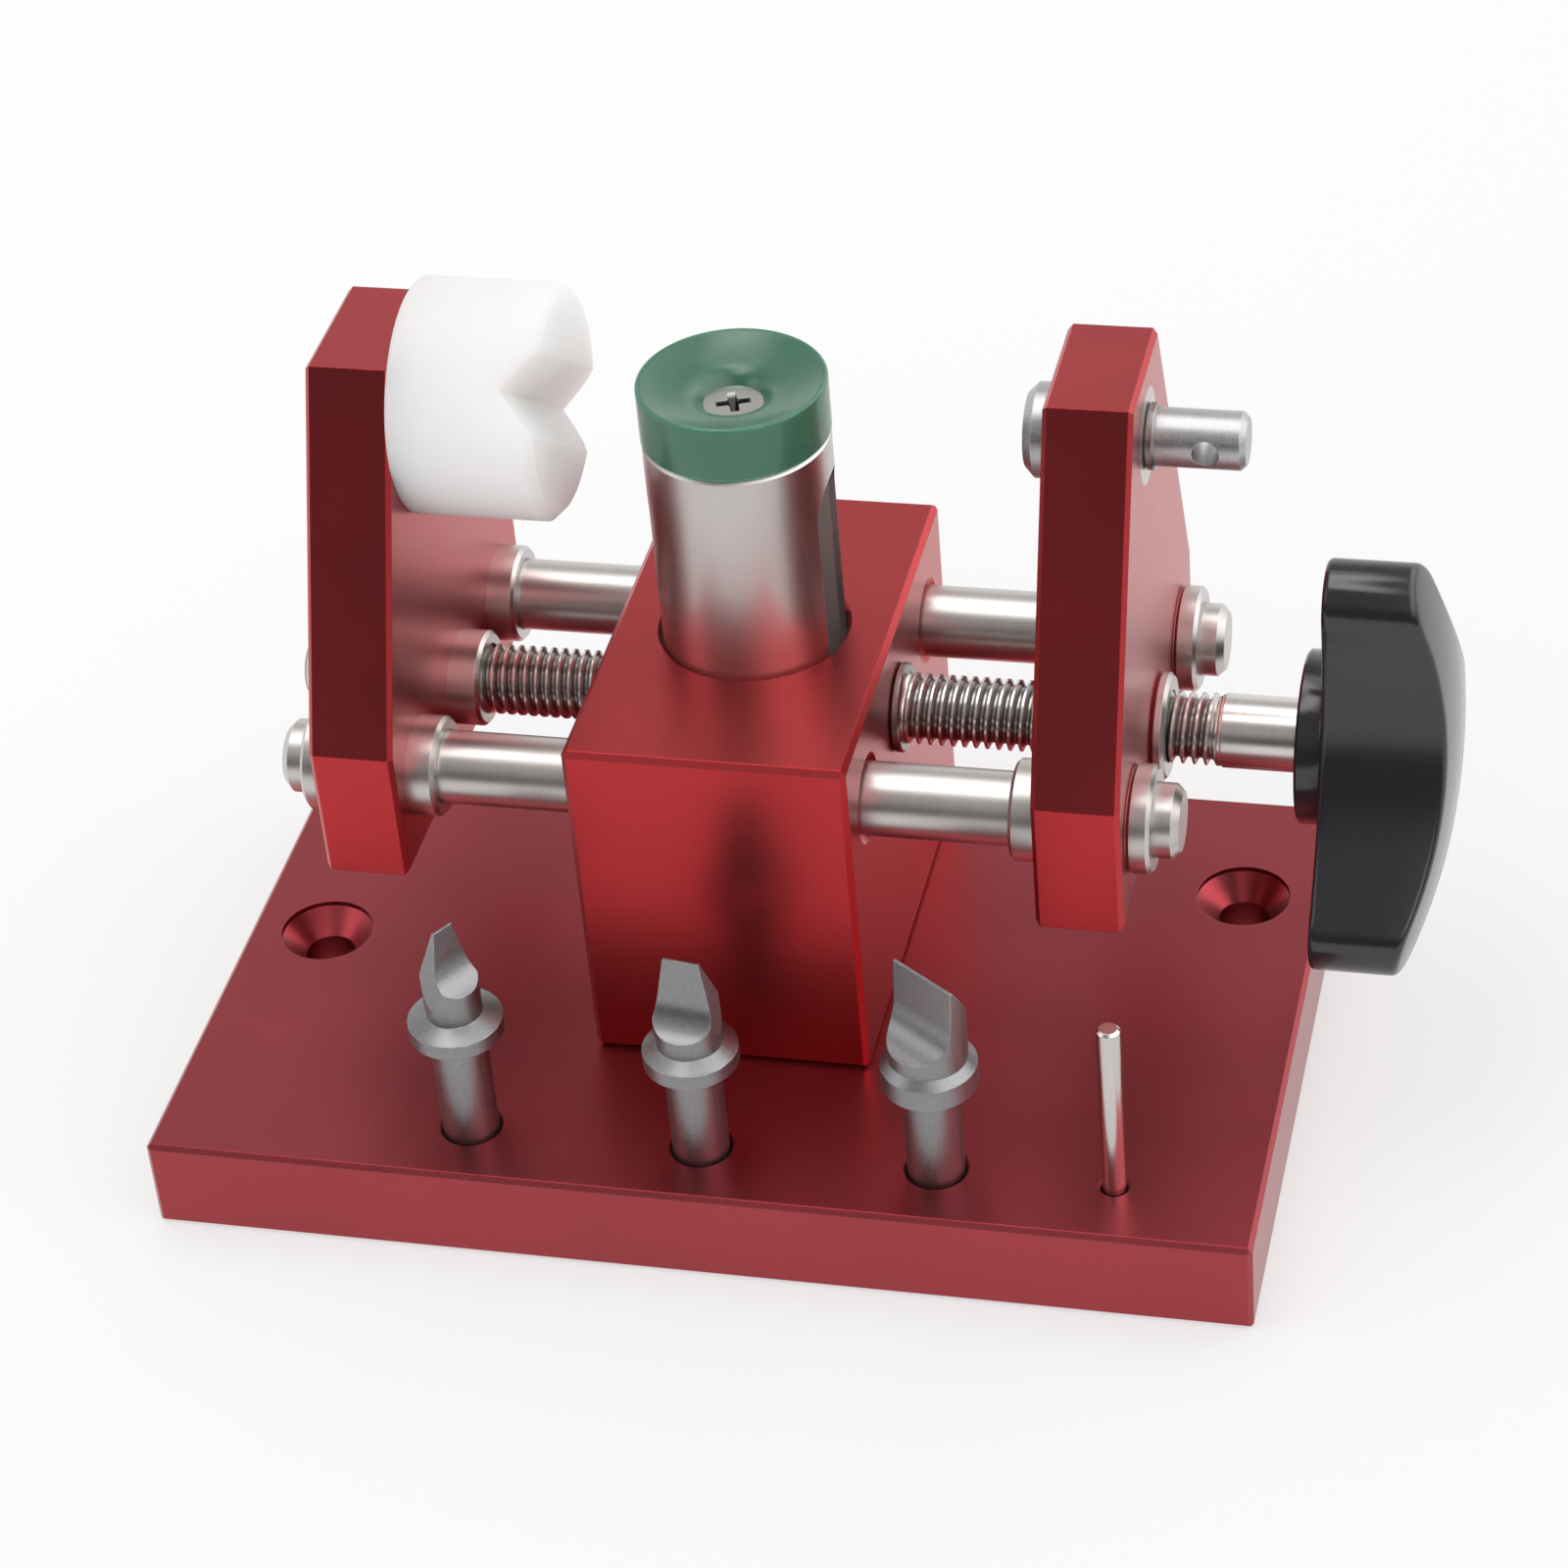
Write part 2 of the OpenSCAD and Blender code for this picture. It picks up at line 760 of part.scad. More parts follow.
// The three lobes are joined by a six-sided plate between their tangent points,
// and three large cylinders hollow its sides.
module lobed_prism(h) {
    d = knob_r - lobe_r;
    s = lobe_r + hollow_r;
    e = d / 2 + sqrt(s * s - 0.75 * d * d);
    lean = atan2(e * sin(60), e * cos(60) - d);
    tangents = [
        for (k = [0, 1, 2], side = [-1, 1])
            d * [cos(120 * k), sin(120 * k)]
            + lobe_r * [cos(120 * k + side * lean), sin(120 * k + side * lean)]
    ];
    difference() {
        union() {
            for (k = [0, 1, 2]) rotate([0, 0, 120 * k]) translate([d, 0, 0]) cylinder(r = lobe_r, h = h);
            linear_extrude(h) polygon(tangents);
        }
        for (k = [0, 1, 2])
            rotate([0, 0, 120 * k + 60])
                translate([e, 0, -1]) cylinder(r = hollow_r + 0.01, h = h + 2, $fn = 180);
    }
}

module knob() {
    top = knob_edge + dome_h;
    dome_r = (knob_r * knob_r + dome_h * dome_h) / (2 * dome_h);
    color(BLACK)
        on_axis(block_y, axis_z, knob_x)
            difference() {
                union() {
                    intersection() {
                        rotate([0, 0, knob_turn]) lobed_prism(top);
                        translate([0, 0, top - dome_r]) sphere(r = dome_r, $fn = 180);
                        rotate_extrude()
                            polygon([
                                [0, 0], [knob_r - knob_bevel, 0], [knob_r, knob_bevel],
                                [knob_r, knob_edge - knob_bevel],
                                [knob_r - 2 * knob_bevel, top], [0, top]
                            ]);
                    }
                    translate([0, 0, -hub_len])
                        rotate_extrude()
                            polygon([[0, 0], [hub_d / 2 - hub_bevel, 0], [hub_d / 2, hub_bevel],
                                     [hub_d / 2, hub_len + 1], [0, hub_len + 1]]);
                }
                translate([0, 0, -hub_len - 1]) cylinder(d = insert_d, h = insert_len + 1);
            }
}

module knob_insert() {
    color(BRASS)
        on_axis(block_y, axis_z, hub_x)
            difference() {
                cylinder(d = insert_d, h = insert_len);
                translate([0, 0, -1]) cylinder(d = journal_d, h = insert_len + 2);
            }
}

// Post, pad and spring

// The screw passes through this slot, which keeps the post from turning
// and stops it at the top
module post_slot() {
    r = slot_w / 2;
    on_axis(block_y, axis_z) {
        cylinder(r = r, h = reach, center = true);
        translate([0, slot_top - r - axis_z, 0]) cylinder(r = r, h = reach, center = true);
        translate([-r, 0, -reach / 2]) cube([slot_w, slot_top - r - axis_z, reach]);
    }
}

module post() {
    color(SILVER)
        difference() {
            translate([0, block_y, post_foot]) bar(post_d, post_top - post_foot, post_bevel);
            post_slot();
            translate([0, block_y, slot_top - 1]) cylinder(d = pad_screw_d, h = reach);
        }
}

module pad_screw_shape() {
    r = pad_screw_d / 2;
    head_r = pad_head_d / 2;
    rotate_extrude()
        polygon([
            [0, pad_head_z - pad_screw_len], [r, pad_head_z - pad_screw_len],
            [r, pad_head_z - (head_r - r)], [head_r, pad_head_z], [0, pad_head_z]
        ]);
}

module pad() {
    r = pad_d / 2;
    head_r = pad_head_d / 2;
    // Sphere through the rim of the dish and the rim of the crater
    rim_r = r - pad_rim;
    crater_r = head_r + crater_w;
    fall = pad_dish - crater_h;
    centre_h = (rim_r * rim_r - crater_r * crater_r - fall * fall) / (2 * fall);
    dish_r = sqrt(rim_r * rim_r + centre_h * centre_h);
    color(GREEN)
        translate([0, block_y, 0])
            difference() {
                translate([0, 0, post_top])
                    rotate_extrude() polygon([[0, 0], [r, 0], [r, pad_h], [0, pad_h]]);
                translate([0, 0, pad_top + centre_h]) sphere(r = dish_r, $fn = 128);
                translate([0, 0, pad_head_z])
                    cylinder(r1 = head_r, r2 = head_r + 2 * crater_w, h = 2 * crater_h);
                pad_screw_shape();
            }
}

module pad_screw() {
    slot_l = 0.62 * pad_head_d;
    slot_t = 0.14 * pad_head_d;
    color(STEEL)
        translate([0, block_y, 0])
            difference() {
                pad_screw_shape();
                for (a = [0, 90])
                    translate([0, 0, pad_head_z]) rotate([0, 0, a])
                        cube([slot_l, slot_t, 2 * slot_t], center = true);
            }
}

// The wire's middle line: close turns, open turns, close turns
spring_low = base_thk + spring_wire / 2 + face_gap;
spring_high = post_foot - spring_wire / 2 - face_gap;
spring_end_rise = spring_end_turns * (spring_wire + spring_end_gap);
spring_all = spring_turns + 2 * spring_end_turns;

function spring_z(t) =
    t < spring_end_turns ? spring_low + spring_end_rise * t / spring_end_turns
    : t > spring_all - spring_end_turns
        ? spring_high - spring_end_rise * (spring_all - t) / spring_end_turns
    : spring_low + spring_end_rise
        + (spring_high - spring_low - 2 * spring_end_rise) * (t - spring_end_turns) / spring_turns;

function spring_point(t, r) = [r * cos(360 * t), r * sin(360 * t), spring_z(t)];

module post_spring() {
    rings_per_turn = 8;
    sides = 6;
    n = round(rings_per_turn * spring_all);
    points = [
        for (i = [0 : n])
            let (t = spring_all * i / n, a = 360 * t, c = spring_point(t, spring_d / 2))
                for (j = [0 : sides - 1])
                    let (b = 360 * j / sides)
                        c + spring_wire / 2 * [cos(b) * cos(a), cos(b) * sin(a), sin(b)]
    ];
    sides_faces = [
        for (i = [0 : n - 1], j = [0 : sides - 1])
            let (k = (j + 1) % sides, p = i * sides, q = p + sides)
                each [[p + j, q + j, q + k], [p + j, q + k, p + k]]
    ];
    ends = [
        [for (j = [0 : sides - 1]) j],
        [for (j = [sides - 1 : -1 : 0]) n * sides + j]
    ];
    // Least distance between one turn and the next, less the wire
    gaps = [
        for (i = [0 : n - rings_per_turn])
            let (t = spring_all * i / n)
                norm(spring_point(t + 1 > spring_all ? spring_all : t + 1, spring_d / 2)
                     - spring_point(t, spring_d / 2)) - spring_wire
    ];
    echo(least_spring_gap = min(gaps));
    color(STEEL) translate([0, block_y, 0]) polyhedron(points, concat(sides_faces, ends));
}

base_plate();
centre_block();
block_screws();
rod_front();
rod_rear();
left_jaw();
left_front_bush();
left_rear_bush();
left_nut();
v_cushion();
cushion_screw();
right_jaw();
right_front_bush();
right_rear_bush();
right_nut();
spindle_bush();
pressure_spindle();
spindle_ring();
lead_screw();
screw_rings();
knob();
knob_insert();
post();
pad();
pad_screw();
post_spring();
blade_narrow();
blade_medium();
blade_wide();
tommy_pin();
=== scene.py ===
"""Looks of the watch case opener.

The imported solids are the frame. This file gives each of them its finish and
replaces the pieces whose threads, recesses and moulded edges the solids leave out.
Lengths are in metres, in the frame's own axes: X to the knob, Y to the back, Z up.
"""

import math

import bmesh
import bpy
from bpy.props import (
    FloatProperty,
    FloatVectorProperty,
    IntProperty,
    PointerProperty,
)
from mathutils import Matrix, Vector


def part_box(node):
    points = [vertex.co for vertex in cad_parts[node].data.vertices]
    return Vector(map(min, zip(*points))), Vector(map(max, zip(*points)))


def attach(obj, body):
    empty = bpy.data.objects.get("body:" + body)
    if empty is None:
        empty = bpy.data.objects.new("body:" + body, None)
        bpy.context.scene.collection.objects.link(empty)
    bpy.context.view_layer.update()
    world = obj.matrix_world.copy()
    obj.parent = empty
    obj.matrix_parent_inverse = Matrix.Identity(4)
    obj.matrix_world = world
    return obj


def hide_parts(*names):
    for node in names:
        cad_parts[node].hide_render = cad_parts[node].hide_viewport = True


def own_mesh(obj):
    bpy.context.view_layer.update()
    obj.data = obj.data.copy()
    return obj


bl_info = {
    "name": "Watch Case Opener Looks",
    "version": (1, 0, 0),
    "blender": (4, 5, 0),
    "location": "3D View > Sidebar > Case Opener",
    "description": "Threads, moulded knob, spring and finishes for a watch case opener",
    "category": "Object",
}

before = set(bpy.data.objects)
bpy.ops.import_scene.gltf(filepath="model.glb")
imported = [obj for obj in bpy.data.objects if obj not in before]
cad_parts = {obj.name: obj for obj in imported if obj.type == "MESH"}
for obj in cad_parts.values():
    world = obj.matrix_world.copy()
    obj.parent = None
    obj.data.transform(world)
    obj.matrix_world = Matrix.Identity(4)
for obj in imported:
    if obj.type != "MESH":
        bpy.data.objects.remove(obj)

MM = 0.001


def middle(node):
    """The middle of a CAD node's box."""
    low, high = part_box(node)
    return (low + high) / 2


SCREW_AXIS = middle("lead_screw")
POST_AXIS = middle("post")
TOOL_AXIS = middle("pressure_spindle")


# Settings


class FinishSettings(bpy.types.PropertyGroup):
    """Colours of the materials."""

    red: FloatVectorProperty(
        name="Anodised red", description="Dye of the block and the jaws", subtype="COLOR",
        size=3, default=(0.47, 0.018, 0.023), min=0, max=1,
    )
    # The base plate's dye is more crimson than the block's, and darker; the darkness is partly painted shade
    # from the parts that stand over the plate.
    shaded_base_red: FloatVectorProperty(
        name="Base plate red", description="Dye of the base plate", subtype="COLOR",
        size=3, default=(0.345, 0.030, 0.040), min=0, max=1,
    )
    steel: FloatVectorProperty(
        name="Turned steel", description="Rods, bushes, nuts, post and screw", subtype="COLOR",
        size=3, default=(0.60, 0.57, 0.55), min=0, max=1,
    )
    ground: FloatVectorProperty(
        name="Ground steel", description="Blades and spindle", subtype="COLOR",
        size=3, default=(0.28, 0.28, 0.285), min=0, max=1,
    )
    wire: FloatVectorProperty(
        name="Spring steel", description="Retaining rings and spring", subtype="COLOR",
        size=3, default=(0.33, 0.32, 0.31), min=0, max=1,
    )
    plating: FloatVectorProperty(
        name="Plating", description="Screws", subtype="COLOR",
        size=3, default=(0.55, 0.54, 0.52), min=0, max=1,
    )
    pad: FloatVectorProperty(
        name="Pad", description="Polyurethane pad", subtype="COLOR",
        size=3, default=(0.050, 0.165, 0.105), min=0, max=1,
    )
    nylon: FloatVectorProperty(
        name="Nylon", description="V cushion", subtype="COLOR",
        size=3, default=(0.84, 0.835, 0.825), min=0, max=1,
    )
    knob: FloatVectorProperty(
        name="Knob plastic", description="Moulded knob", subtype="COLOR",
        size=3, default=(0.017, 0.017, 0.020), min=0, max=1,
    )
    brass: FloatVectorProperty(
        name="Brass", description="Insert in the knob", subtype="COLOR",
        size=3, default=(0.55, 0.38, 0.13), min=0, max=1,
    )


class ScrewSettings(bpy.types.PropertyGroup):
    """Sizes of the lead screw."""

    pitch: FloatProperty(
        name="Pitch", description="Distance between two crests", subtype="DISTANCE",
        default=1.25 * MM, min=0.5 * MM, max=3 * MM,
    )
    depth: FloatProperty(
        name="Depth", description="Depth of the thread", subtype="DISTANCE",
        default=0.74 * MM, min=0.1 * MM, max=1.5 * MM,
    )
    plain_radius: FloatProperty(
        name="Plain radius", description="Radius of the plain parts", subtype="DISTANCE",
        default=4.0 * MM, min=3 * MM, max=5 * MM,
    )
    thread_radius: FloatProperty(
        name="Thread radius", description="Radius over the crests", subtype="DISTANCE",
        default=3.875 * MM, min=3 * MM, max=5 * MM,
    )
    plain_end: FloatProperty(
        name="Plain end", description="Where the plain middle ends, from the post's axis",
        subtype="DISTANCE", default=16.3 * MM, min=15 * MM, max=20 * MM,
    )
    thread_end: FloatProperty(
        name="Thread end", description="Where the thread ends, from the post's axis",
        subtype="DISTANCE", default=50.6 * MM, min=40 * MM, max=60 * MM,
    )
    end_bevel: FloatProperty(
        name="End bevel", description="Bevel at both ends of the screw", subtype="DISTANCE",
        default=0.8 * MM, min=0.1 * MM, max=2 * MM,
    )
    around: IntProperty(
        name="Sides", description="Points round the thread, a multiple of four",
        default=56, min=16, max=128,
    )


class KnobSettings(bpy.types.PropertyGroup):
    """Sizes of the knob."""

    reach: FloatProperty(
        name="Reach", description="Axis to the tip of a lobe", subtype="DISTANCE",
        default=25 * MM, min=15 * MM, max=40 * MM,
    )
    lobe: FloatProperty(
        name="Lobe radius", description="Radius of a lobe's tip", subtype="DISTANCE",
        default=4.5 * MM, min=3 * MM, max=12 * MM,
    )
    hollow: FloatProperty(
        name="Hollow radius", description="Radius of the hollow between lobes",
        subtype="DISTANCE", default=33 * MM, min=15 * MM, max=60 * MM,
    )
    turn: FloatProperty(
        name="Turn", description="Turn about the screw's axis", subtype="ANGLE",
        default=math.radians(100),
    )
    dome: FloatProperty(
        name="Dome", description="Height of the dome", subtype="DISTANCE",
        default=4.7 * MM, min=0.5 * MM, max=8 * MM,
    )
    hub: FloatProperty(
        name="Hub radius", description="Radius of the hub behind the lobes", subtype="DISTANCE",
        default=9.35 * MM, min=6 * MM, max=14 * MM,
    )
    hub_length: FloatProperty(
        name="Hub length", description="How far the hub stands out behind the lobes",
        subtype="DISTANCE", default=2.8 * MM, min=1 * MM, max=6 * MM,
    )
    front_round: FloatProperty(
        name="Front rounding", description="Rounding between side and dome",
        subtype="DISTANCE", default=0.6 * MM, min=0.1 * MM, max=3 * MM,
    )
    back_round: FloatProperty(
        name="Back rounding", description="Rounding between side and back",
        subtype="DISTANCE", default=0.7 * MM, min=0.1 * MM, max=3 * MM,
    )


class PadSettings(bpy.types.PropertyGroup):
    """Sizes of the pad's dish."""

    rim: FloatProperty(
        name="Rim", description="Rounding between the side and the dish", subtype="DISTANCE",
        default=0.35 * MM, min=0.05 * MM, max=1 * MM,
    )
    crater_width: FloatProperty(
        name="Crater width", description="Width of the steeper crater around the screw",
        subtype="DISTANCE", default=0.9 * MM, min=0.5 * MM, max=1.5 * MM,
    )
    crater_depth: FloatProperty(
        name="Crater depth", description="Depth of that crater", subtype="DISTANCE",
        default=1.3 * MM, min=0.8 * MM, max=1.5 * MM,
    )
    crater_soft: FloatProperty(
        name="Crater softness", description="Width of the soft edge outside the crater",
        subtype="DISTANCE", default=1.5 * MM, min=0.5 * MM, max=2 * MM,
    )


class PadScrewSettings(bpy.types.PropertyGroup):
    """Sizes of the screw in the pad."""

    recess: FloatProperty(
        name="Recess", description="Length of the cross across the head", subtype="DISTANCE",
        default=3.7 * MM, min=1 * MM, max=6 * MM,
    )
    slot: FloatProperty(
        name="Slot", description="Width of one slot of the cross", subtype="DISTANCE",
        default=0.95 * MM, min=0.3 * MM, max=2 * MM,
    )
    deep: FloatProperty(
        name="Recess depth", description="Depth of the cross", subtype="DISTANCE",
        default=1.7 * MM, min=0.5 * MM, max=3 * MM,
    )


class SpringSettings(bpy.types.PropertyGroup):
    """Sizes of the spring under the post."""

    wire: FloatProperty(
        name="Wire", description="Wire diameter", subtype="DISTANCE",
        default=1.3 * MM, min=0.5 * MM, max=2 * MM,
    )
    open_turns: FloatProperty(
        name="Open turns", description="Turns between the close ends",
        default=4, min=2, max=8,
    )
    end_turns: FloatProperty(
        name="End turns", description="Close turns at each end",
        default=0.75, min=0.25, max=2,
    )
    end_pitch: FloatProperty(
        name="End pitch", description="Rise of one close turn", subtype="DISTANCE",
        default=1.8 * MM, min=1.3 * MM, max=3 * MM,
    )


class StageSettings(bpy.types.PropertyGroup):
    """Camera and lamps."""

    camera_place: FloatVectorProperty(
        name="Camera", description="Where the camera stands", subtype="TRANSLATION",
        size=3, default=(0.112374, -0.379765, 0.335021),
    )
    camera_aim: FloatVectorProperty(
        name="Aim", description="Direction in which the camera looks", subtype="DIRECTION",
        size=3, default=(-0.21814, 0.76839, -0.60166),
    )
    camera_up: FloatVectorProperty(
        name="Camera up", description="Upward direction in the camera's image", subtype="DIRECTION",
        size=3, default=(-0.07302, 0.60193, 0.79520),
    )
    lens: FloatProperty(
        name="Lens", description="Focal length in millimetres", default=105.5, min=20, max=300,
    )
    key: FloatProperty(
        name="Key lamp", description="Power of the lamp above the object", subtype="POWER",
        default=0.6, min=0, max=100,
    )
    key_place: FloatVectorProperty(
        name="Key place", description="Where the lamp above the object hangs, facing down",
        subtype="TRANSLATION", size=3, default=(-0.11, 0.10, 0.62),
    )
    key_size: FloatVectorProperty(
        name="Key size", description="Width and length of the lamp above the object",
        size=2, default=(0.25, 0.60), min=0.01, max=2,
    )
    side: FloatProperty(
        name="Side lamp", description="Power of the lamp on the left", subtype="POWER",
        default=0.6, min=0, max=100,
    )
    side_place: FloatVectorProperty(
        name="Side place", description="Where the lamp on the left stands",
        subtype="TRANSLATION", size=3, default=(-0.55, -0.25, 0.42),
    )
    side_size: FloatProperty(
        name="Side size", description="Width of the lamp on the left", subtype="DISTANCE",
        default=0.40, min=0.01, max=2,
    )
    surround: FloatProperty(
        name="Surround", description="Strength of the light from all round",
        default=1.04, min=0, max=2,
    )


class OpenerSettings(bpy.types.PropertyGroup):
    """All settings of the case opener."""

    finish: PointerProperty(type=FinishSettings)
    screw: PointerProperty(type=ScrewSettings)
    knob: PointerProperty(type=KnobSettings)
    pad: PointerProperty(type=PadSettings)
    pad_screw: PointerProperty(type=PadScrewSettings)
    spring: PointerProperty(type=SpringSettings)
    stage: PointerProperty(type=StageSettings)


# Node helpers


def put(tree, kind, sockets=None, **settings):
    """Adds a node. A socket takes a number, a colour or another node's output."""
    made = tree.nodes.new(kind)
    for name, value in settings.items():
        setattr(made, name, value)
    for key, value in (sockets or {}).items():
        if isinstance(value, bpy.types.NodeSocket):
            tree.links.new(value, made.inputs[key])
        else:
            made.inputs[key].default_value = value
    return made


def calc(tree, operation, a, b=0.0, c=0.0, clamp=False):
    """A Math node's output, in a material or a geometry tree."""
    return put(
        tree, "ShaderNodeMath", {0: a, 1: b, 2: c}, operation=operation, use_clamp=clamp
    ).outputs[0]


def scaled(tree, value, low, high, to_low, to_high):
    """A Map Range node's output, held between its limits."""
    return put(
        tree, "ShaderNodeMapRange",
        {"Value": value, "From Min": low, "From Max": high, "To Min": to_low, "To Max": to_high},
        clamp=True,
    ).outputs[0]


def noise(tree, place, scale, detail=2.0, roughness=0.5):
    """A Noise Texture's value at a place, with a scale in features per metre."""
    return put(
        tree, "ShaderNodeTexNoise",
        {"Vector": place, "Scale": scale, "Detail": detail, "Roughness": roughness},
    ).outputs[0]


def product(tree, a, b):
    """Two values multiplied."""
    return calc(tree, "MULTIPLY", a, b)


def mixed(tree, factor, first, second):
    """A colour between two colours."""
    mix = put(tree, "ShaderNodeMix", data_type="RGBA")
    for index, value in ((0, factor), (6, first), (7, second)):
        if isinstance(value, bpy.types.NodeSocket):
            tree.links.new(value, mix.inputs[index])
        elif index == 0:
            mix.inputs[index].default_value = value
        else:
            mix.inputs[index].default_value = tuple(value) + (1.0,)
    return mix.outputs[2]


def shade(colour, factor):
    """A colour made darker or lighter."""
    return tuple(min(1.0, part * factor) for part in colour)


def surface(name, metallic=0.0, coat=0.0, coat_roughness=0.2, soft=0.0, ior=1.45, specular=0.5):
    """A new material with one Principled shader, and the place on the object."""
    material = bpy.data.materials.new(name)
    material.use_nodes = True
    tree = material.node_tree
    tree.nodes.clear()
    shader = put(
        tree, "ShaderNodeBsdfPrincipled",
        {
            "Metallic": metallic, "Coat Weight": coat, "Coat Roughness": coat_roughness,
            "IOR": ior, "Specular IOR Level": specular,
        },
    )
    if soft:
        shader.inputs["Subsurface Weight"].default_value = soft
    put(tree, "ShaderNodeOutputMaterial", {"Surface": shader.outputs[0]})
    place = put(tree, "ShaderNodeTexCoord").outputs["Object"]
    return material, tree, shader, place


def relief(tree, shader, height, distance, strength=1.0, edge=0.0):
    """Bump from a height between 0 and 1, over edges that are rounded to a radius."""
    bump = put(
        tree, "ShaderNodeBump", {"Strength": strength, "Distance": distance, "Height": height}
    )
    if edge:
        rounded = put(tree, "ShaderNodeBevel", {"Radius": edge}, samples=5)
        tree.links.new(rounded.outputs[0], bump.inputs["Normal"])
    tree.links.new(bump.outputs[0], shader.inputs["Normal"])


def edge_wear_and_light(tree, place, radius):
    """1 on sharp edges, broken up by noise, and 0 elsewhere: worn edges on metal, and painted light along the
    pad's rim.

    An edge is where the normal of the rounded surface leaves the real one, and the
    cosine between the two falls below 1.
    """
    rounded = put(tree, "ShaderNodeBevel", {"Radius": radius}, samples=6).outputs[0]
    straight = put(tree, "ShaderNodeNewGeometry").outputs["Normal"]
    across = put(tree, "ShaderNodeVectorMath", {0: rounded, 1: straight}, operation="DOT_PRODUCT")
    edge = scaled(tree, across.outputs["Value"], 0.995, 0.93, 0.0, 1.0)
    broken = scaled(tree, noise(tree, place, 900, 3.0), 0.42, 0.62, 0.15, 1.0)
    return product(tree, edge, broken)


def around_axis(tree, place, centre, axis):
    """Distance along an axis and distance from it, as two outputs."""
    local = put(
        tree, "ShaderNodeVectorMath", {0: place, 1: tuple(centre)}, operation="SUBTRACT"
    ).outputs[0]
    parts = put(tree, "ShaderNodeSeparateXYZ", {0: local}).outputs
    others = [parts[i] for i in range(3) if i != axis]
    squares = [product(tree, p, p) for p in others]
    return parts[axis], calc(tree, "SQRT", calc(tree, "ADD", squares[0], squares[1]))


def tool_rings(tree, along, out, along_scale, out_scale):
    """Noise in fine rings round an axis, as a turning tool leaves them."""
    place = put(
        tree, "ShaderNodeCombineXYZ",
        {0: product(tree, along, along_scale), 1: product(tree, out, out_scale)},
    ).outputs[0]
    return noise(tree, place, 1.0)


# Materials


def anodised(name, colour):
    """Dyed oxide on fine blasted aluminium: a metal under a clear, matt skin."""
    material, tree, shader, place = surface(
        name, metallic=1.0, coat=0.6, coat_roughness=0.45, ior=1.6
    )
    cloud = noise(tree, place, 38, 3.0)
    grain = noise(tree, place, 5200, 2.0, 0.6)
    dye = mixed(tree, scaled(tree, cloud, 0.3, 0.7, 0, 1), shade(colour, 0.93), shade(colour, 1.07))
    edge = edge_wear_and_light(tree, place, 0.35 * MM)
    bare = (0.55, 0.20, 0.20)
    tint = mixed(tree, product(tree, edge, 0.10), dye, bare)
    tree.links.new(tint, shader.inputs["Base Color"])
    rough = calc(
        tree, "ADD", scaled(tree, cloud, 0.3, 0.7, 0.30, 0.34),
        scaled(tree, grain, 0.3, 0.7, -0.03, 0.03),
    )
    tree.links.new(rough, shader.inputs["Roughness"])
    relief(tree, shader, grain, 0.002 * MM, 0.6, edge=0.15 * MM)
    return material


def turned(name, colour, centre, axis, roughness=0.26, marks=0.5, dark_below=0.0, milled_below=0.0,
           dark_under=None):
    """Turned metal: fine rings that follow the tool round the axis.

    Nearer to the axis than dark_below, as in the roots of a thread, it is darker: painted shade, with some
    oil.
    Nearer than milled_below, as in a milled slot, it is duller. Further down the axis
    than dark_under, as in a recess, it is dark: painted shade in the recess.
    """
    material, tree, shader, place = surface(name, metallic=1.0)
    along, out = around_axis(tree, place, centre, axis)
    fine = tool_rings(tree, along, out, 4200.0, 2600.0)
    wide = noise(tree, place, 130)
    tint = mixed(
        tree, scaled(tree, fine, 0.35, 0.65, 0, 1), shade(colour, 0.98), shade(colour, 1.015)
    )
    root_shade = 0.45
    recess_shade = 0.12
    # Painted shade, with some oil: nearer the axis, in a thread's roots, the colour is made darker.
    if dark_below:
        root_shade_and_oil = scaled(tree, out, dark_below - 0.5 * MM, dark_below, 1.0, 0.0)
        tint = mixed(tree, root_shade_and_oil, tint, shade(colour, root_shade))
    # Painted shade: deep in a recess, the colour is made dark, where the walls shade it.
    if dark_under is not None:
        painted_recess_shade = scaled(tree, along, dark_under - 0.4 * MM, dark_under, 1.0, 0.0)
        tint = mixed(tree, painted_recess_shade, tint, shade(colour, recess_shade))
    tree.links.new(tint, shader.inputs["Base Color"])
    rough = calc(
        tree, "ADD", scaled(tree, wide, 0.3, 0.7, roughness - 0.02, roughness + 0.02),
        scaled(tree, fine, 0.3, 0.7, -0.006, 0.006),
    )
    if milled_below:
        extra_roughness = 0.30
        milled = scaled(tree, out, milled_below - 0.1 * MM, milled_below, extra_roughness, 0.0)
        rough = calc(tree, "ADD", rough, milled)
    tree.links.new(rough, shader.inputs["Roughness"])
    relief(tree, shader, fine, 0.0012 * MM, marks, edge=0.06 * MM)
    return material


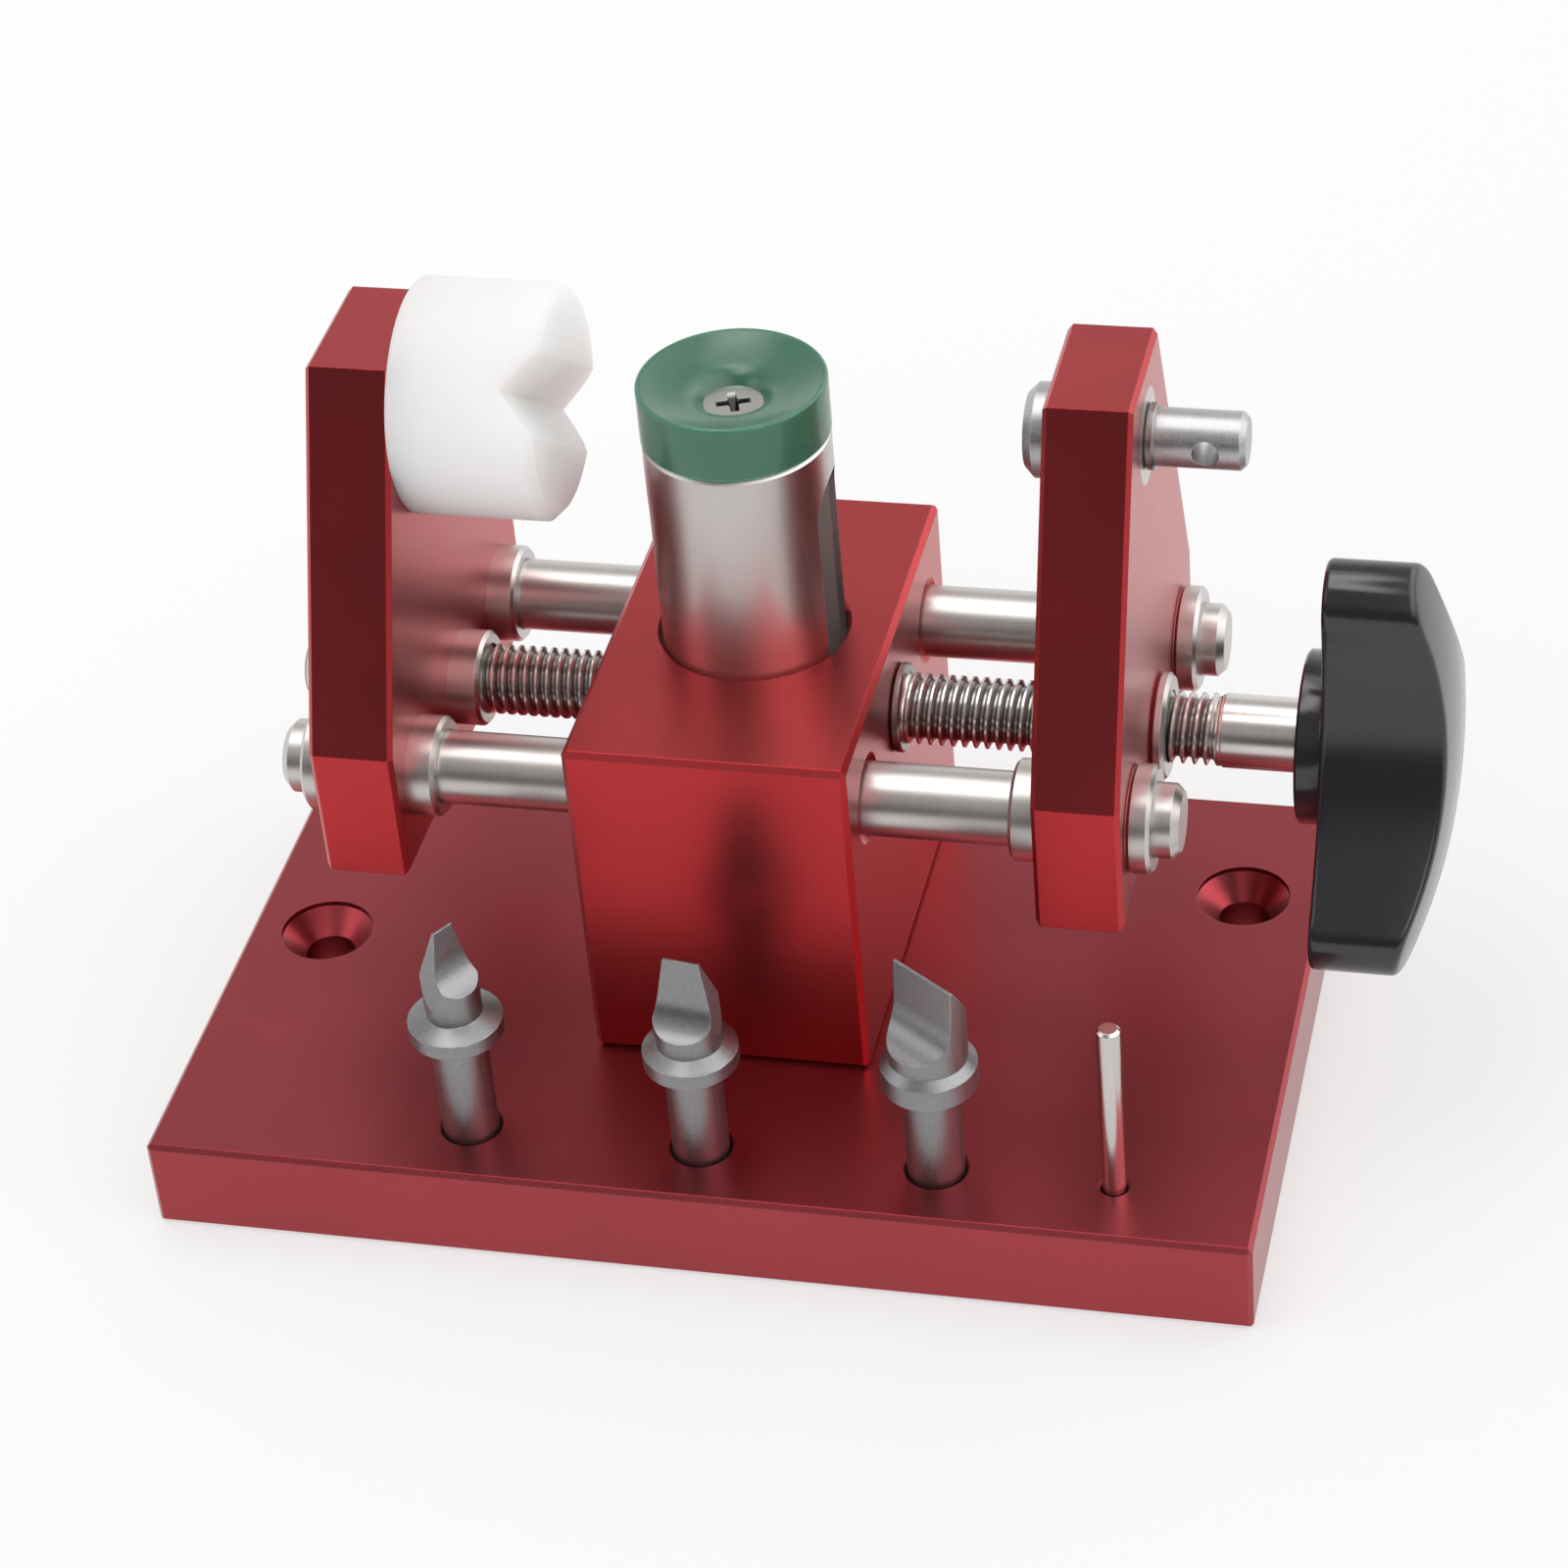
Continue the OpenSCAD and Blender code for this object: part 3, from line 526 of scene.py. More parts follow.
def ground(name, colour, centre, axis):
    """Hardened and ground steel: turned body, scratches along the ground faces."""
    material, tree, shader, place = surface(name, metallic=1.0)
    along, out = around_axis(tree, place, centre, axis)
    fine = tool_rings(tree, along, out, 6500.0, 5000.0)
    stretch = [5200.0, 5200.0, 5200.0]
    stretch[axis] = 420.0
    drawn_out = put(
        tree, "ShaderNodeVectorMath", {0: place, 1: tuple(stretch)}, operation="MULTIPLY"
    ).outputs[0]
    strokes = noise(tree, drawn_out, 1.0, 3.0, 0.6)
    blast = noise(tree, place, 3800)
    tone = calc(tree, "ADD", product(tree, fine, 0.25), product(tree, strokes, 0.35))
    tone = calc(tree, "ADD", tone, product(tree, blast, 0.4))
    tint = mixed(tree, scaled(tree, tone, 0.38, 0.62, 0, 1), shade(colour, 0.86), shade(colour, 1.12))
    edge = edge_wear_and_light(tree, place, 0.18 * MM)
    bright = (0.72, 0.72, 0.72)
    tint = mixed(tree, product(tree, edge, 0.5), tint, bright)
    tree.links.new(tint, shader.inputs["Base Color"])
    tree.links.new(scaled(tree, tone, 0.35, 0.65, 0.33, 0.44), shader.inputs["Roughness"])
    relief(tree, shader, tone, 0.006 * MM, 0.5, edge=0.15 * MM)
    return material


def drawn_wire(name, colour):
    """Hardened spring steel with a dark, slightly mottled skin."""
    material, tree, shader, place = surface(name, metallic=1.0)
    mottle = noise(tree, place, 700, 3.0)
    tint = mixed(tree, mottle, shade(colour, 0.75), shade(colour, 1.15))
    tree.links.new(tint, shader.inputs["Base Color"])
    tree.links.new(scaled(tree, mottle, 0.3, 0.7, 0.26, 0.40), shader.inputs["Roughness"])
    relief(tree, shader, noise(tree, place, 4200, 2.0), 0.004 * MM, 0.4)
    return material


def cushion_nylon(name, colour):
    """Turned nylon: light goes in a little, and the tool left faint rings."""
    material, tree, shader, place = surface(name, soft=1.0, ior=1.5, specular=0.3)
    shader.inputs["Subsurface Radius"].default_value = (1.0, 0.93, 0.90)
    shader.inputs["Subsurface Scale"].default_value = 14.0 * MM
    along, out = around_axis(tree, place, middle("v_cushion"), 0)
    fine = tool_rings(tree, along, out, 3200.0, 3200.0)
    cloud = noise(tree, place, 160, 3.0)
    tint = mixed(tree, scaled(tree, cloud, 0.3, 0.7, 0, 1), shade(colour, 0.97), colour)
    tree.links.new(tint, shader.inputs["Base Color"])
    tree.links.new(scaled(tree, fine, 0.3, 0.7, 0.42, 0.52), shader.inputs["Roughness"])
    relief(tree, shader, fine, 0.004 * MM, 0.5)
    return material


def pad_rubber(name, colour):
    """Cast polyurethane: deep, slightly clear green with a smooth skin, and painted light along its rim."""
    material, tree, shader, place = surface(
        name, coat=0.3, coat_roughness=0.12, soft=0.8, ior=1.5, specular=0.45
    )
    shader.inputs["Subsurface Radius"].default_value = (0.45, 1.0, 0.75)
    shader.inputs["Subsurface Scale"].default_value = 2.2 * MM
    cloud = noise(tree, place, 110, 1.0)
    tint = mixed(tree, cloud, shade(colour, 0.92), shade(colour, 1.08))
    # Painted light: the rim is made pale, for light that glows through its edge.
    edge = edge_wear_and_light(tree, place, 0.4 * MM)
    tint = mixed(tree, product(tree, edge, 0.7), tint, shade(colour, 3.0))
    tree.links.new(tint, shader.inputs["Base Color"])
    tree.links.new(scaled(tree, cloud, 0.0, 1.0, 0.24, 0.30), shader.inputs["Roughness"])
    return material


def knob_plastic(name, colour):
    """Moulded plastic: glossy, with the faint waviness of a mould."""
    material, tree, shader, place = surface(name, ior=1.58, specular=0.5)
    wave = noise(tree, place, 120, 2.0)
    skin = noise(tree, place, 900, 2.0)
    tint = mixed(tree, skin, shade(colour, 0.92), shade(colour, 1.08))
    tree.links.new(tint, shader.inputs["Base Color"])
    tree.links.new(scaled(tree, skin, 0.3, 0.7, 0.13, 0.18), shader.inputs["Roughness"])
    relief(tree, shader, wave, 0.010 * MM, 0.4)
    return material


def finish(piece, material):
    """Gives a piece one material."""
    piece.data.materials.clear()
    piece.data.materials.append(material)


# Mesh helpers


def add_piece(name, mesh, body, slot, *nodes, sharp=35):
    """Puts a mesh in the scene as a piece that rides on a body and stands for CAD nodes."""
    piece = bpy.data.objects.new(name, mesh)
    bpy.context.scene.collection.objects.link(piece)
    close_and_shade(mesh, sharp)
    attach(piece, body)
    if nodes:
        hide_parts(*nodes)
    return piece


def close_and_shade(mesh, sharp):
    """Merges doubles, turns faces outwards and shades smooth up to an angle."""
    work = bmesh.new()
    work.from_mesh(mesh)
    bmesh.ops.remove_doubles(work, verts=work.verts, dist=0.002 * MM)
    bmesh.ops.dissolve_degenerate(work, dist=0.001 * MM, edges=work.edges)
    bmesh.ops.recalc_face_normals(work, faces=work.faces)
    limit = math.radians(sharp)
    for face in work.faces:
        face.smooth = True
    for edge in work.edges:
        edge.smooth = edge.calc_face_angle(0.0) < limit
    work.to_mesh(mesh)
    work.free()
    mesh.update()


def join_rings(work, rings):
    """Skins a list of closed rings with the same number of points."""
    count = len(rings[0])
    for low, high in zip(rings, rings[1:]):
        for i in range(count):
            k = (i + 1) % count
            work.faces.new((low[i], low[k], high[k], high[i]))


def quarter_turn(count):
    """Angles from 0 to a right angle, in equal steps."""
    return [math.pi / 2 * i / (count - 1) for i in range(count)]


def revolved(profile, sides, place):
    """A closed mesh from (radius, height) points; place turns them into the frame."""
    work = bmesh.new()
    rings = []
    for radius, height in profile:
        if radius < 1e-7:
            rings.append(work.verts.new(place(0, 0, height)))
            continue
        rings.append([
            work.verts.new(place(radius * math.cos(a), radius * math.sin(a), height))
            for a in (2 * math.pi * i / sides for i in range(sides))
        ])
    for low, high in zip(rings, rings[1:]):
        if isinstance(low, list) and isinstance(high, list):
            join_rings(work, [low, high])
            continue
        tip, ring = (high, low) if isinstance(low, list) else (low, high)
        if isinstance(ring, list):
            for i in range(sides):
                work.faces.new((ring[i], ring[(i + 1) % sides], tip))
    mesh = bpy.data.meshes.new("revolved")
    work.to_mesh(mesh)
    work.free()
    return mesh


def evaluated_copy(carrier):
    """The mesh that an object's modifiers make, as a mesh of its own."""
    depsgraph = bpy.context.evaluated_depsgraph_get()
    return bpy.data.meshes.new_from_object(carrier.evaluated_get(depsgraph))


def geometry_tree(name, sizes, counts=()):
    """A new geometry tree with named inputs, and its group input and output nodes."""
    tree = bpy.data.node_groups.new(name, "GeometryNodeTree")
    face = tree.interface
    face.new_socket("Geometry", in_out="INPUT", socket_type="NodeSocketGeometry")
    for size in sizes:
        face.new_socket(size, in_out="INPUT", socket_type="NodeSocketFloat")
    for count in counts:
        face.new_socket(count, in_out="INPUT", socket_type="NodeSocketInt")
    face.new_socket("Material", in_out="INPUT", socket_type="NodeSocketMaterial")
    face.new_socket("Geometry", in_out="OUTPUT", socket_type="NodeSocketGeometry")
    return tree, tree.nodes.new("NodeGroupInput").outputs, tree.nodes.new("NodeGroupOutput")


def end_tree(tree, inputs, output, geometry):
    """Ends a geometry tree: no instances left, and the material set."""
    real = put(tree, "GeometryNodeRealizeInstances", {0: geometry}).outputs[0]
    done = put(tree, "GeometryNodeSetMaterial", {"Geometry": real, "Material": inputs["Material"]})
    tree.links.new(done.outputs[0], output.inputs[0])


def grown(tree, values):
    """The plain mesh that a geometry tree makes with these inputs."""
    carrier = bpy.data.objects.new("carrier", bpy.data.meshes.new("carrier"))
    bpy.context.scene.collection.objects.link(carrier)
    modifier = carrier.modifiers.new(tree.name, "NODES")
    modifier.node_group = tree
    for item in tree.interface.items_tree:
        if item.in_out == "INPUT" and item.name in values:
            modifier[item.identifier] = values[item.name]
    mesh = evaluated_copy(carrier)
    empty = carrier.data
    bpy.data.objects.remove(carrier)
    bpy.data.meshes.remove(empty)
    if len(mesh.polygons) == 0:
        raise RuntimeError(f"{tree.name} made no faces")
    return mesh


# Geometry trees


# Rows of points along one pitch of the thread
THREAD_SAMPLES = 10


def thread_tree():
    """A screw thread along X from 0 to Length: rows that follow the helix.

    Start Bevel bevels the tip at 0. Start Fade and End Fade let the thread run out
    into the full radius over that length.
    """
    tree, given, output = geometry_tree(
        "Screw thread",
        ("Length", "Radius", "Depth", "Pitch", "Hand", "Start Bevel", "Start Fade", "End Fade"),
        ("Sides",),
    )
    step = calc(tree, "DIVIDE", given["Pitch"], float(THREAD_SAMPLES))
    turns = calc(tree, "ADD", calc(tree, "DIVIDE", given["Length"], given["Pitch"]), 2.0)
    rows = calc(tree, "ADD", calc(tree, "CEIL", product(tree, turns, float(THREAD_SAMPLES))), 1.0)
    columns = calc(tree, "ADD", given["Sides"], 1.0)
    grid = put(
        tree, "GeometryNodeMeshGrid",
        {"Size X": 1.0, "Size Y": 1.0, "Vertices X": rows, "Vertices Y": columns},
    ).outputs["Mesh"]
    spot = put(tree, "ShaderNodeSeparateXYZ", {0: put(tree, "GeometryNodeInputPosition").outputs[0]})
    share = calc(tree, "ADD", spot.outputs[1], 0.5)
    row = product(tree, calc(tree, "ADD", spot.outputs[0], 0.5), calc(tree, "SUBTRACT", rows, 1.0))
    lead = product(tree, product(tree, given["Pitch"], given["Hand"]), share)
    first = product(tree, given["Pitch"], -1.0)
    raw = calc(tree, "ADD", product(tree, row, step), first)
    along = calc(tree, "MAXIMUM", calc(tree, "MINIMUM", calc(tree, "ADD", raw, lead), given["Length"]), 0.0)
    phase = calc(tree, "DIVIDE", calc(tree, "SUBTRACT", along, lead), given["Pitch"])
    wave = calc(tree, "COSINE", product(tree, phase, 2 * math.pi))
    form = calc(tree, "ADD", product(tree, wave, 0.66), 0.46, clamp=True)
    fade_in = calc(tree, "DIVIDE", along, calc(tree, "MAXIMUM", given["Start Fade"], 1e-6), clamp=True)
    left = calc(tree, "SUBTRACT", given["Length"], along)
    fade_out = calc(tree, "DIVIDE", left, calc(tree, "MAXIMUM", given["End Fade"], 1e-6), clamp=True)
    cut = product(tree, calc(tree, "SUBTRACT", 1.0, form), given["Depth"])
    cut = product(tree, product(tree, cut, fade_in), fade_out)
    thread = calc(tree, "SUBTRACT", given["Radius"], cut)
    tip = calc(tree, "SUBTRACT", given["Radius"], given["Start Bevel"])
    radius = calc(tree, "MINIMUM", thread, calc(tree, "ADD", tip, along))
    angle = product(tree, share, 2 * math.pi)
    around = put(
        tree, "ShaderNodeCombineXYZ",
        {
            0: along,
            1: product(tree, radius, calc(tree, "COSINE", angle)),
            2: product(tree, radius, calc(tree, "SINE", angle)),
        },
    ).outputs[0]
    tube = put(tree, "GeometryNodeSetPosition", {"Geometry": grid, "Position": around}).outputs[0]
    parts = [tube]
    for place, size in ((0.0, tip), (given["Length"], given["Radius"])):
        disc = put(
            tree, "GeometryNodeMeshCircle", {"Vertices": given["Sides"], "Radius": size},
            fill_type="NGON",
        ).outputs[0]
        at = put(tree, "ShaderNodeCombineXYZ", {0: place}).outputs[0]
        parts.append(
            put(
                tree, "GeometryNodeTransform",
                {"Geometry": disc, "Translation": at, "Rotation": (0, math.pi / 2, 0)},
            ).outputs[0]
        )
    joined = tree.nodes.new("GeometryNodeJoinGeometry")
    for part in reversed(parts):
        tree.links.new(part, joined.inputs[0])
    merged = put(tree, "GeometryNodeMergeByDistance", {"Geometry": joined.outputs[0], "Distance": 0.002 * MM})
    end_tree(tree, given, output, merged.outputs[0])
    return tree


def spring_tree():
    """A compression spring along Z from 0 to Height, with close turns at both ends."""
    tree, given, output = geometry_tree(
        "Coil spring", ("Height", "Radius", "Wire", "Open Turns", "End Turns", "End Pitch"),
        ("Steps", "Sides"),
    )
    turns = calc(tree, "ADD", given["Open Turns"], product(tree, given["End Turns"], 2.0))
    count = calc(tree, "ADD", product(tree, turns, given["Steps"]), 1.0)
    line = put(tree, "GeometryNodeMeshLine", {"Count": count}).outputs[0]
    index = put(tree, "GeometryNodeInputIndex").outputs[0]
    turn = calc(tree, "DIVIDE", index, given["Steps"])
    rise = product(tree, given["End Turns"], given["End Pitch"])
    free = calc(tree, "SUBTRACT", given["Height"], given["Wire"])
    free = calc(tree, "SUBTRACT", free, product(tree, rise, 2.0))
    low = product(tree, rise, calc(tree, "DIVIDE", turn, given["End Turns"], clamp=True))
    past = calc(tree, "SUBTRACT", turn, given["End Turns"])
    middle_part = product(tree, free, calc(tree, "DIVIDE", past, given["Open Turns"], clamp=True))
    last = calc(tree, "SUBTRACT", past, given["Open Turns"])
    high = product(tree, rise, calc(tree, "DIVIDE", last, given["End Turns"], clamp=True))
    height = calc(tree, "ADD", calc(tree, "ADD", low, middle_part), high)
    height = calc(tree, "ADD", height, calc(tree, "DIVIDE", given["Wire"], 2.0))
    angle = product(tree, turn, 2 * math.pi)
    place = put(
        tree, "ShaderNodeCombineXYZ",
        {
            0: product(tree, given["Radius"], calc(tree, "COSINE", angle)),
            1: product(tree, given["Radius"], calc(tree, "SINE", angle)),
            2: height,
        },
    ).outputs[0]
    coil = put(tree, "GeometryNodeSetPosition", {"Geometry": line, "Position": place}).outputs[0]
    curve = put(tree, "GeometryNodeMeshToCurve", {0: coil}).outputs[0]
    section = put(
        tree, "GeometryNodeCurvePrimitiveCircle",
        {"Resolution": given["Sides"], "Radius": calc(tree, "DIVIDE", given["Wire"], 2.0)},
    ).outputs[0]
    wire = put(
        tree, "GeometryNodeCurveToMesh",
        {"Curve": curve, "Profile Curve": section, "Fill Caps": True},
    ).outputs[0]
    end_tree(tree, given, output, wire)
    return tree


# Operators


class OPENER_OT_anodised_plates(bpy.types.Operator):
    """Finish of the base plate, the centre block and the two jaws"""

    bl_idname = "opener.anodised_plates"
    bl_label = "Anodised plates"

    def execute(self, context):
        colours = context.scene.opener.finish
        red = anodised("red_anodised", tuple(colours.red))
        for node in ("centre_block", "left_jaw", "right_jaw"):
            finish(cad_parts[node], red)
        # The base plate's darker red is partly painted shade from the parts above it.
        finish(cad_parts["base_plate"], anodised("red_base_plate_shaded", tuple(colours.shaded_base_red)))
        return {"FINISHED"}


class OPENER_OT_turned_pieces(bpy.types.Operator):
    """Finish of the rods, bushes, nuts, post, tommy pin and knob insert"""

    bl_idname = "opener.turned_pieces"
    bl_label = "Turned pieces"

    along_screw = (
        "rod_front", "rod_rear", "left_front_bush", "left_rear_bush", "right_front_bush",
        "right_rear_bush", "left_nut", "right_nut", "spindle_bush",
    )

    def execute(self, context):
        colours = context.scene.opener.finish
        steel = tuple(colours.steel)
        for node in self.along_screw:
            finish(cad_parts[node], turned("steel_" + node, steel, middle(node), 0, 0.34, marks=0.06))
        post = turned("steel_post", steel, POST_AXIS, 2, roughness=0.36, milled_below=9.4 * MM)
        finish(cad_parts["post"], post)
        pin = turned("steel_tommy_pin", steel, middle("tommy_pin"), 2, roughness=0.22)
        finish(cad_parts["tommy_pin"], pin)
        brass = turned("brass_insert", tuple(colours.brass), SCREW_AXIS, 0)
        finish(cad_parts["knob_insert"], brass)
        return {"FINISHED"}


class OPENER_OT_ground_tools(bpy.types.Operator):
    """Finish of the blades in the rack and of the spindle in the right jaw"""

    bl_idname = "opener.ground_tools"
    bl_label = "Blades and spindle"

    def execute(self, context):
        colour = tuple(context.scene.opener.finish.ground)
        for node in ("blade_narrow", "blade_medium", "blade_wide"):
            finish(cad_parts[node], ground("ground_" + node, colour, middle(node), 2))
        spindle = ground("ground_spindle", shade(colour, 1.75), TOOL_AXIS, 0)
        finish(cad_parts["pressure_spindle"], spindle)
        return {"FINISHED"}


class OPENER_OT_rings_and_screws(bpy.types.Operator):
    """Finish of the retaining rings and of the screws in the block and the cushion"""

    bl_idname = "opener.rings_and_screws"
    bl_label = "Rings and screws"

    def execute(self, context):
        colours = context.scene.opener.finish
        wire = drawn_wire("spring_steel", tuple(colours.wire))
        for node in ("screw_rings", "spindle_ring"):
            finish(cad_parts[node], wire)
        plated = drawn_wire("plated_steel", tuple(colours.plating))
        for node in ("block_screws", "cushion_screw"):
            finish(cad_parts[node], plated)
        return {"FINISHED"}


class OPENER_OT_lead_screw(bpy.types.Operator):
    """Lead screw with a left-hand thread on the right and a right-hand thread on the left"""

    bl_idname = "opener.lead_screw"
    bl_label = "Lead screw"

    def execute(self, context):
        sizes = context.scene.opener.screw
        low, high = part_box("lead_screw")
        # The thread's roots are made darker: painted shade, with some oil.
        steel = turned(
            "steel_lead_screw", shade(tuple(context.scene.opener.finish.steel), 1.15), SCREW_AXIS, 0,
            marks=0.15, dark_below=sizes.thread_radius - 0.18 * MM,
        )
        tree = thread_tree()
        overlap = 0.15 * MM
        edge = 0.1 * MM
        lead_in = 0.3 * MM
        shared = {
            "Radius": sizes.thread_radius, "Depth": sizes.depth, "Pitch": sizes.pitch,
            "Sides": sizes.around, "Material": steel, "End Fade": sizes.pitch,
        }
        tip_length = -low.x - sizes.plain_end + overlap
        left = grown(tree, {**shared, "Length": tip_length, "Hand": 1.0,
                            "Start Bevel": sizes.end_bevel, "Start Fade": 0.0})
        left.transform(Matrix.Translation((low.x, SCREW_AXIS.y, SCREW_AXIS.z)))
        right = grown(tree, {**shared, "Length": sizes.thread_end - sizes.plain_end + 2 * overlap,
                             "Hand": -1.0, "Start Bevel": 0.0, "Start Fade": sizes.pitch})
        right.transform(
            Matrix.Translation((sizes.plain_end - overlap, SCREW_AXIS.y, SCREW_AXIS.z))
        )
        r = sizes.plain_radius

        def on_screw(a, b, x):
            return (x, SCREW_AXIS.y + a, SCREW_AXIS.z + b)

        journal = revolved(
            [(0, -sizes.plain_end), (r - edge, -sizes.plain_end), (r, -sizes.plain_end + edge),
             (r, sizes.plain_end - edge), (r - edge, sizes.plain_end), (0, sizes.plain_end)],
            64, on_screw,
        )
        shaft = revolved(
            [(0, sizes.thread_end), (r - lead_in, sizes.thread_end), (r, sizes.thread_end + lead_in),
             (r, high.x - sizes.end_bevel), (r - sizes.end_bevel, high.x), (0, high.x)],
            64, on_screw,
        )
        mesh = joined_meshes("lead_screw_threaded", (left, right, journal, shaft), steel)
        add_piece("lead_screw_threaded", mesh, "screw", "turned_steel", "lead_screw", sharp=32)
        return {"FINISHED"}


def joined_meshes(name, parts, material):
    """One mesh from several closed ones, with one material."""
    work = bmesh.new()
    for part in parts:
        work.from_mesh(part)
    for face in work.faces:
        face.material_index = 0
    mesh = bpy.data.meshes.new(name)
    work.to_mesh(mesh)
    work.free()
    for part in parts:
        bpy.data.meshes.remove(part)
    mesh.materials.append(material)
    return mesh


# Points round one lobe or one hollow of the knob, and rings of points on its dome
LOBE_STEPS = 26
DOME_RINGS = 14


def lobed_outline(sizes, steps):
    """Points and outward directions round the knob: three lobes and three hollows."""
    d = sizes.reach - sizes.lobe
    s = sizes.lobe + sizes.hollow
    e = d / 2 + math.sqrt(s * s - 0.75 * d * d)
    lean = math.atan2(e * math.sin(math.pi / 3), e * math.cos(math.pi / 3) - d)
    outline = []
    for k in range(3):
        a = sizes.turn + 2 * math.pi * k / 3
        lobe = Vector((d * math.cos(a), d * math.sin(a)))
        for i in range(steps):
            t = a - lean + 2 * lean * i / (steps - 1)
            way = Vector((math.cos(t), math.sin(t)))
            outline.append((lobe + sizes.lobe * way, way))
        b = a + math.pi / 3
        hollow = Vector((e * math.cos(b), e * math.sin(b)))
        start = a + lean + math.pi
        sweep = 2 * (b + math.pi - start)
        for i in range(1, steps - 1):
            t = start + sweep * i / (steps - 1)
            way = Vector((math.cos(t), math.sin(t)))
            outline.append((hollow + sizes.hollow * way, -way))
    return outline


class OPENER_OT_knob(bpy.types.Operator):
    """Moulded three-lobe knob with a domed face, rounded edges and a hub"""

    bl_idname = "opener.knob"
    bl_label = "Knob"

    def execute(self, context):
        sizes = context.scene.opener.knob
        low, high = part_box("knob")
        insert_low, insert_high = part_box("knob_insert")
        outline = lobed_outline(sizes, LOBE_STEPS)
        bore_r = (insert_high.y - insert_low.y) / 2
        back = low.x + sizes.hub_length
        hub_edge = 0.3 * MM
        hub_fillet = 0.4 * MM
        dome_r = (sizes.reach**2 + sizes.dome**2) / (2 * sizes.dome)

        def dome(distance):
            return high.x - dome_r + math.sqrt(dome_r**2 - distance**2)

        work = bmesh.new()

        def ring(points, heights):
            return [
                work.verts.new((x, SCREW_AXIS.y + p.x, SCREW_AXIS.z + p.y))
                for p, x in zip(points, heights)
            ]

        def circle(radius, x):
            return ring([p.normalized() * radius for p, _ in outline], [x] * len(outline))

        def inset(amount):
            return [p - n * amount for p, n in outline]

        rings = [
            circle(bore_r, insert_high.x), circle(bore_r, low.x),
            circle(sizes.hub - hub_edge, low.x), circle(sizes.hub, low.x + hub_edge),
            circle(sizes.hub, back - hub_fillet),
            circle(sizes.hub + 0.3 * hub_fillet, back - 0.3 * hub_fillet),
            circle(sizes.hub + hub_fillet, back),
        ]
        rounding = sizes.back_round
        for t in reversed(quarter_turn(6)):
            points = inset(rounding * (1 - math.cos(t)))
            rings.append(ring(points, [back + rounding * (1 - math.sin(t))] * len(points)))
        rounding = sizes.front_round
        for t in quarter_turn(7):
            points = inset(rounding * (1 - math.cos(t)))
            rings.append(ring(points, [dome(p.length) - rounding * (1 - math.sin(t)) for p in points]))
        edge = inset(rounding)
        for i in range(1, DOME_RINGS):
            points = [p * (1 - i / DOME_RINGS) for p in edge]
            rings.append(ring(points, [dome(p.length) for p in points]))
        join_rings(work, rings)
        for last, x in ((rings[0], insert_high.x), (rings[-1], high.x)):
            tip = work.verts.new((x, SCREW_AXIS.y, SCREW_AXIS.z))
            for i in range(len(last)):
                work.faces.new((last[i], last[(i + 1) % len(last)], tip))
        mesh = bpy.data.meshes.new("knob_moulded")
        work.to_mesh(mesh)
        work.free()
        mesh.materials.append(knob_plastic("black_plastic", tuple(context.scene.opener.finish.knob)))
        add_piece("knob_moulded", mesh, "screw", "black_plastic", "knob", sharp=40)
        return {"FINISHED"}


class OPENER_OT_cushion(bpy.types.Operator):
    """Finish of the nylon V cushion"""

    bl_idname = "opener.cushion"
    bl_label = "V cushion"

    def execute(self, context):
        nylon = cushion_nylon("white_nylon", tuple(context.scene.opener.finish.nylon))
        finish(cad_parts["v_cushion"], nylon)
        return {"FINISHED"}


# Radius of the pad screw's shank and of its hole in the pad
PAD_SCREW_R = 1.5 * MM


def on_post(a, b, z):
    """A point at (a, b) from the post's axis."""
    return (POST_AXIS.x + a, POST_AXIS.y + b, z)


def dish_line(sizes, rim_r, head_r, top, bottom):
    """Points from the rim of the pad's dish to the screw's head, with a soft crater edge."""
    crater_r = head_r + sizes.crater_width
    fall = top - bottom - sizes.crater_depth
    centre = (rim_r**2 - crater_r**2 - fall**2) / (2 * fall)
    radius = math.hypot(rim_r, centre)

    def dish(r):
        return top + centre - math.sqrt(radius**2 - r**2)

    soft_r = crater_r + sizes.crater_soft
    dish_steps = 12
    points = [
        (r, dish(r)) for r in (rim_r + (soft_r - rim_r) * i / dish_steps for i in range(dish_steps))
    ]
    slope = soft_r / math.sqrt(radius**2 - soft_r**2)
    bend = 0.8
    start = Vector((soft_r, dish(soft_r)))
    end = Vector((head_r, bottom))
    pull = start - Vector((1, slope)) * bend * sizes.crater_soft
    push = end + Vector((sizes.crater_width, sizes.crater_depth)) * bend
    curve_steps = 10
    for i in range(curve_steps + 1):
        t = i / curve_steps
        spot = (
            start * (1 - t) ** 3 + pull * 3 * t * (1 - t) ** 2
            + push * 3 * t * t * (1 - t) + end * t**3
        )
        points.append((spot.x, spot.y))
    return points


